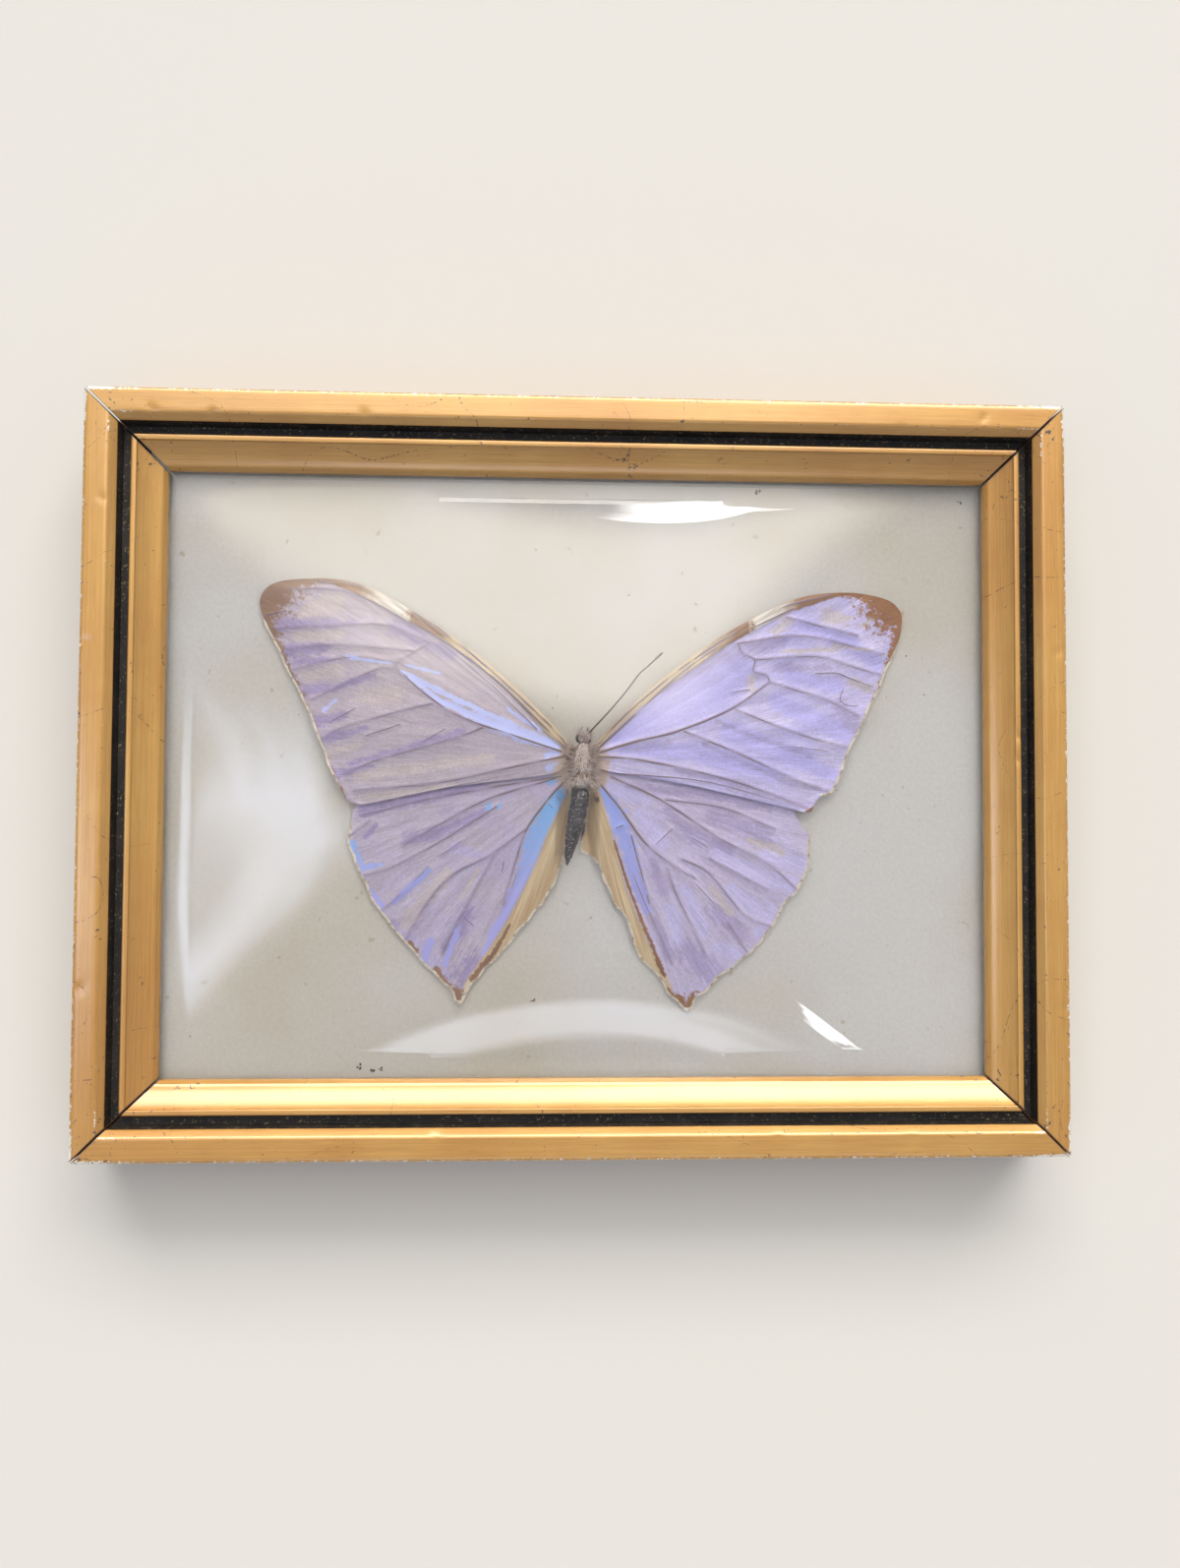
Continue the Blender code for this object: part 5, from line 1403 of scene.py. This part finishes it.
side = rng.choice([-1.0, 1.0], HAIRS_AT_ROOTS)
root_x = 0.2 + side * rng.uniform(0.9, 1.9, HAIRS_AT_ROOTS)
root_y = rng.uniform(-1.4, 4.0, HAIRS_AT_ROOTS)
tuft_roots = np.column_stack([root_x, root_y, WING_ROOT_HEIGHT + rng.uniform(-0.1, 0.5, HAIRS_AT_ROOTS)])
tuft_along = np.column_stack([side * rng.uniform(0.5, 1.1, HAIRS_AT_ROOTS), (root_y - 1.2) * 0.28,
                              rng.uniform(0.0, 0.4, HAIRS_AT_ROOTS)])
tuft_along += rng.normal(0, 0.15, tuft_along.shape)
roots = np.vstack([back_roots, tuft_roots])
along = np.vstack([back_along, tuft_along])
along /= np.linalg.norm(along, axis=1, keepdims=True)
length = np.concatenate([back_length, rng.uniform(0.5, 1.5, HAIRS_AT_ROOTS)])
radius = rng.uniform(0.7, 1.1, len(roots)) * HAIR_RADIUS
points, faces, caps = strands(roots, along, length, radius, 0.15, rng)
# Hairs that face up are paler: painted light on top of the thorax and painted shade down its sides, mixed with
# a random paleness for each hair.
facing_up = np.concatenate([outward[:, 2], np.full(HAIRS_AT_ROOTS, 0.45)])
pale = rng.random(len(roots)) * 0.5 + 0.5 * smoothstep(0.2, 0.9, facing_up)
FUR = dry_fur()
piece("thorax_hair", points, faces, [FUR], "insect_fur", caps=caps,
      values={"pale": np.repeat(pale, HAIR_POINTS)}, flip=False)

# %% [markdown]
# The abdomen is charcoal, in rings that narrow to a point, bent a little to the left, with a dull shine on
# its ridges and a few short bristles. A dark furrow runs down the middle of its first rings. The pale flecks
# on it are dust and painted highlights.

# %% Abdomen
ABDOMEN_STATIONS = [            # place along the body, centre, half width, half height
    (-13.0, -1.82, 0.10, 0.12), (-12.2, -1.70, 0.40, 0.42), (-10.6, -1.38, 0.78, 0.80),
    (-8.2, -0.90, 1.14, 1.08), (-5.6, -0.38, 1.32, 1.24), (-3.6, 0.00, 1.28, 1.20), (-2.4, 0.20, 1.05, 0.95),
    (-1.95, 0.22, 0.5, 0.5)]
RING_ENDS = (-3.3, -4.8, -6.3, -7.7, -9.0, -10.2, -11.3, -12.2)
ABDOMEN_ROWS, ABDOMEN_SIDES = 190, 72
BRISTLES = 400
BRISTLE_RADIUS = 0.016


def abdomen_swell(y, a):
    """1, less a groove at each ring's end and a furrow on the back, plus shallow dents and a ridge."""
    grooves = sum(0.08 * np.exp(-((y - end) / 0.14) ** 2) - 0.025 * np.exp(-((y - end - 0.35) / 0.3) ** 2)
                  for end in RING_ENDS)
    back = np.clip(np.sin(a), 0, 1)
    furrow = 0.10 * np.exp(-((np.cos(a) + 0.15) / 0.16) ** 2) * back * smoothstep(-5.4, -4.2, y)
    dents = 0.03 * np.sin(3 * a + 1.7 * y) * np.sin(1.3 * y + a)
    dents = dents + 0.012 * np.sin(9 * a + 5 * y) * np.sin(7 * y)
    keel = 0.04 * np.exp(-((a - 1.9) / 0.25) ** 2)
    return 1 - grooves - furrow + dents + keel


abdomen, abdomen_normal = loft(ABDOMEN_STATIONS, ABDOMEN_ROWS, ABDOMEN_SIDES, abdomen_swell)
# Its pale flecks are partly dust and partly painted highlights: light specks that stand in for glints on the
# dark skin.
charcoal = horny_shell("charcoal_abdomen_skin", "#141116", "#393239", 0.4, 0.3, dust_and_glint_fleck="#C9BDBA")
ring_piece("abdomen_rings", abdomen, [charcoal], "dark_chitin", replaces=("abdomen",))
row = rng.integers(6, ABDOMEN_ROWS - 4, BRISTLES)
column = rng.integers(0, ABDOMEN_SIDES, BRISTLES)
roots, outward = abdomen[row, column], abdomen_normal[row, column]
keep = outward[:, 2] > -0.3
roots, outward = roots[keep], outward[keep]
along = outward * 0.35 + np.array([0.0, -0.9, 0.0]) + rng.normal(0, 0.2, roots.shape)
along /= np.linalg.norm(along, axis=1, keepdims=True)
length = rng.uniform(0.18, 0.42, len(roots))
points, faces, caps = strands(roots, along, length, np.full(len(roots), BRISTLE_RADIUS), 0.05, rng)
piece("abdomen_bristles", points, faces, [FUR], "insect_fur", caps=caps,
      values={"pale": np.repeat(rng.random(len(roots)) ** 2 * 0.9, HAIR_POINTS)}, flip=False)

# %% [markdown]
# The antenna is a jointed thread. Its rings show as a fine ripple of its radius, it has a kink two thirds of
# the way out, and it thickens slightly towards its tip. Two palps, short hairy feelers, stand at the front of
# the head.

# %% Antenna and palps
ANTENNA = [(1.0, 5.7, 9.75), (1.9, 6.75, 10.0), (3.4, 8.35, 10.15), (5.2, 10.4, 10.1), (7.2, 12.9, 9.85),
           (8.55, 14.75, 9.6), (9.7, 15.75, 9.4), (12.0, 17.95, 9.0)]
PALPS = ([(0.2, 5.9, 9.5), (0.1, 6.5, 9.75), (0.28, 6.95, 10.0)],
         [(0.85, 5.95, 9.5), (1.0, 6.5, 9.7), (1.0, 6.9, 9.9)])
ANTENNA_STEPS, ANTENNA_JOINTS = 420, 70
PALP_STEPS = 24
FEELER_SIDES = 10
thread = evenly(curve_through(ANTENNA, 12), ANTENNA_STEPS)
out = np.linspace(0, 1, ANTENNA_STEPS)
ripple = 1 + 0.10 * np.sin(out * 2 * np.pi * ANTENNA_JOINTS)
thickness = (0.125 - 0.035 * out + 0.05 * smoothstep(0.86, 0.97, out)) * ripple
thickness *= smoothstep(1.004, 0.985, out)
feelers = Bundle()
feelers.take_rings(tube(thread, np.maximum(thickness, 0.01), FEELER_SIDES))
for bend in PALPS:
    palp = evenly(curve_through(bend, 8), PALP_STEPS)
    feelers.take_rings(tube(palp, np.linspace(0.17, 0.03, PALP_STEPS), FEELER_SIDES))
points, faces, _ = feelers.whole()
piece("antenna_and_palps", points, faces, [horny_shell("antenna_horn", "#2E2320", "#5A4842", 0.5, 0.2)],
      "dark_chitin", replaces=("antenna_right",), caps=feelers.caps)

# %% [markdown]
# Dust and crumbs have worked in under the cover over the years: pale grit all over the card, some brown
# crumbs of wing and foil, and a small heap along the bottom edge. Each is a tiny pebble, and all of them are
# one mesh.

# %% Dust and crumbs on the card
CRUMBS = [(26.4, 42.5, .16), (-6.4, -32.6, .15), (57.0, 41.4, .12), (-31.4, -42.4, .16), (-29.8, -42.7, .14),
          (-28.4, -42.5, .12), (-6.6, 33.3, .07), (14.0, -38.0, .07)]
GRAINS = 170
HALF_X, HALF_Y = COVER_HIGH[0] - 5.2, COVER_HIGH[1] - 5.2
crumbs = Bundle()
for x, y in zip(rng.uniform(-HALF_X, HALF_X, GRAINS), rng.uniform(-HALF_Y, HALF_Y, GRAINS)):
    size = rng.uniform(0.03, 0.1) * (1.5 if rng.random() < 0.1 else 1.0)
    radii = (size, size * rng.uniform(0.6, 1.4), size * 0.5)
    grain = lump((x, y, CARD_TOP + size * 0.3), radii, rng, rows=6, sides=8, rough=0.25)
    crumbs.take_rings(grain, int(rng.random() < 0.45))
for x, y, size in CRUMBS:
    for _ in range(3):
        centre = (x + rng.normal(0, size), y + rng.normal(0, size), CARD_TOP + size * 0.35)
        radii = (size, size * rng.uniform(0.5, 1.5), size * 0.5)
        crumbs.take_rings(lump(centre, radii, rng, rows=7, sides=9, rough=0.3), 1)
points, faces, finish_of = crumbs.whole()
grit_finishes = [horny_shell("pale_grit", "#9A938A", "#C9C4BA", 0.8, 0.0),
                 horny_shell("brown_crumbs", "#2E2019", "#6B4C38", 0.7, 0.0)]
piece("dust_and_crumbs", points, faces, grit_finishes, "dark_chitin", caps=crumbs.caps, finish_of=finish_of,
      flip=False)

# %% [markdown]
# The floor is a plain pale sheet, large enough to fill the view.

# %% Floor
FLOOR_HALF = 1.5
floor_corners = [(-FLOOR_HALF, -FLOOR_HALF, 0), (FLOOR_HALF, -FLOOR_HALF, 0), (FLOOR_HALF, FLOOR_HALF, 0),
                 (-FLOOR_HALF, FLOOR_HALF, 0)]
floor_mesh = bpy.data.meshes.new("floor")
floor_mesh.from_pydata(floor_corners, [], [(0, 1, 2, 3)])
floor = bpy.data.objects.new("floor", floor_mesh)
bpy.context.scene.collection.objects.link(floor)
floor_paint, floor_tree, floor_shader, _ = finish("plain_floor")
fill(floor_tree, floor_shader, {"Base Color": "#C9C7C3", "Roughness": 0.9})
floor_mesh.materials.append(floor_paint)
print("floor is", 2 * FLOOR_HALF, "metres wide")

# %% [markdown]
# The light is a pale room with two soft bright panels in its sky, like a studio's softboxes. Lamps could make
# them too, but light from the sky reaches the card through the clear cover with less noise. Both panels are
# on the head's side: the lower one is the key, and the upper one shows as a broad sheen on the dome.

# %% Light from the sky
ROOM_TONE, ROOM_STRENGTH = "#E9EBF0", 0.62
world = bpy.data.worlds.new("soft_room")
world.use_nodes = True
bpy.context.scene.world = world
sky = world.node_tree
sky_direction = add(sky, "TexCoord").outputs["Generated"]
room = sky.nodes["Background"]
fill(sky, room, {"Color": ROOM_TONE, "Strength": ROOM_STRENGTH})


def looking(zenith, azimuth):
    """Unit direction, from its angle off straight up and its angle round from +X, in degrees."""
    polar, around = math.radians(zenith), math.radians(azimuth)
    return np.array([math.sin(polar) * math.cos(around), math.sin(polar) * math.sin(around), math.cos(polar)])


def soft_panel(light, zenith, azimuth, half_wide, half_tall, soft, brightness, colour, turn):
    """Add a soft rectangle to the sky round (zenith, azimuth); its half sizes are tangents of angles.

    With n towards its middle and r, u along its sides, a direction d falls on it where d.r/d.n and d.u/d.n
    are both inside its half sizes.
    """
    n, roll = looking(zenith, azimuth), math.radians(turn)
    level = looking(90, azimuth + 90)
    r = level * math.cos(roll) + np.cross(n, level) * math.sin(roll)
    u = np.cross(n, r)
    ahead = add(sky, "VectorMath", {0: sky_direction, 1: n}, operation="DOT_PRODUCT").outputs["Value"]
    mask = add(sky, "Math", {0: ahead, 1: 0.0}, operation="GREATER_THAN")
    for axis, half in ((r, half_wide), (u, half_tall)):
        along = add(sky, "VectorMath", {0: sky_direction, 1: axis}, operation="DOT_PRODUCT").outputs["Value"]
        ratio = add(sky, "Math", {0: along, 1: ahead}, operation="DIVIDE")
        size = add(sky, "Math", {0: ratio}, operation="ABSOLUTE")
        inside = add(sky, "MapRange", {"Value": size, "From Min": half + soft, "From Max": half - soft},
                     **EASE)
        mask = add(sky, "Math", {0: mask, 1: inside}, operation="MULTIPLY")
    strength = add(sky, "Math", {0: mask, 1: brightness}, operation="MULTIPLY")
    glow = add(sky, "Background", {"Color": colour, "Strength": strength})
    return add(sky, "AddShader", {0: light, 1: glow}).outputs[0]


key_light = soft_panel(room.outputs[0], 56, 84, 0.55, 0.20, 0.02, 8.6, "#FFF9EE", turn=0)
all_light = soft_panel(key_light, 27, 92, 0.31, 0.24, 0.07, 2.8, "#FFF5E4", turn=-14)
sky.links.new(all_light, sky.nodes["World Output"].inputs["Surface"])
print("sky strength:", ROOM_STRENGTH, "with two soft panels")

# %% [markdown]
# Four small lamps give only the sheens and glints on the dome and the foil. A bare lamp would show there as a
# hard-edged rectangle, so each one fades out towards its edges, and a noise bends them out of line.

# %% Small lamps for the sheens
LAMP_DISTANCE = 1.0


def small_lamp(name, zenith, azimuth, wide, tall, radiance, colour, turn, soft, waves):
    """A rectangular lamp that looks at the frame; its power is radiance * pi * area.

    Its light fades to nothing over a strip of width soft inside its edges, which waves bend out of line.
    """
    light = bpy.data.lights.new(name, "AREA")
    light.shape = "RECTANGLE"
    light.size, light.size_y = wide, tall
    light.energy = radiance * math.pi * wide * tall
    light.color = linear(colour)[:3]
    light.use_nodes = True
    tree = light.node_tree
    place = add(tree, "NewGeometry").outputs["Parametric"]
    bend = add(tree, "TexNoise", {"Vector": place, "Scale": 2.6, "Detail": 2.0}).outputs["Color"]
    bend = add(tree, "VectorMath", {0: bend, 1: (-0.5, -0.5, -0.5)}, operation="ADD")
    bend = add(tree, "VectorMath", {0: bend, 3: waves}, operation="SCALE")
    place = add(tree, "VectorMath", {0: place, 1: bend}, operation="ADD")
    place = add(tree, "VectorMath", {0: place, 1: (0.5, 0.5, 0.0)}, operation="SUBTRACT")
    place = add(tree, "VectorMath", {0: place}, operation="ABSOLUTE")
    sides = add(tree, "SeparateXYZ", {0: place})
    reach = 0.5 - waves / 4
    fade = [add(tree, "MapRange", {"Value": sides.outputs[axis], "From Min": reach, "From Max": reach - soft},
                **EASE) for axis in ("X", "Y")]
    light_left = add(tree, "Math", {0: fade[0], 1: fade[1]}, operation="MULTIPLY")
    fill(tree, tree.nodes["Emission"], {"Strength": light_left})
    lamp = bpy.data.objects.new(name, light)
    lamp.location = looking(zenith, azimuth) * LAMP_DISTANCE
    lamp.rotation_euler = (0, math.radians(zenith), math.radians(azimuth))
    lamp.rotation_euler.rotate_axis("Z", math.radians(90 + turn))
    bpy.context.scene.collection.objects.link(lamp)
    print(name, round(light.energy, 2), "watts")


small_lamp("streak_lamp", 41, 62, 0.60, 0.05, 16.0, "#FFFFFF", turn=0, soft=0.12, waves=0.10)
small_lamp("left_sheen_lamp", 29, 185, 0.62, 0.38, 4.2, "#DCE6FF", turn=24, soft=0.26, waves=0.5)
small_lamp("low_sheen_lamp", 35, 268, 0.84, 0.15, 3.1, "#EAEFFF", turn=6, soft=0.22, waves=0.3)
small_lamp("glint_lamp", 32.4, 305, 0.06, 0.042, 20.0, "#FFFFFF", turn=34, soft=0.12, waves=0.4)

# %% [markdown]
# The camera looks down on the frame from 18 cm, tilted by about three degrees, as a hand-held one is. It is
# set by its matrix, worked out from where it stands, where it looks and which way is up.

# %% Camera
camera_data = bpy.data.cameras.new("camera")
camera_data.sensor_width = 36.0
camera_data.lens = 27.1
camera_data.clip_start = 0.01
camera = bpy.data.objects.new("camera", camera_data)
bpy.context.scene.collection.objects.link(camera)
bpy.context.scene.camera = camera


def aim(eye, forward, up):
    """Camera matrix: its -Z looks forward and its +Y is up."""
    back = -np.array(forward) / np.linalg.norm(forward)
    right = np.cross(up, back)
    right /= np.linalg.norm(right)
    matrix = np.eye(4)
    matrix[:3, 0], matrix[:3, 1], matrix[:3, 2], matrix[:3, 3] = right, np.cross(back, right), back, eye
    return matrix


view = aim((-0.00598, -0.00754, 0.1799), (0.0436, 0.0367, -0.9984), (-0.0065, 0.9993, 0.0364))
camera.matrix_world = view.T.tolist()
bpy.context.scene.view_settings.view_transform = "Standard"
print("camera height in millimetres:", round(view[2, 3] / MM, 1))
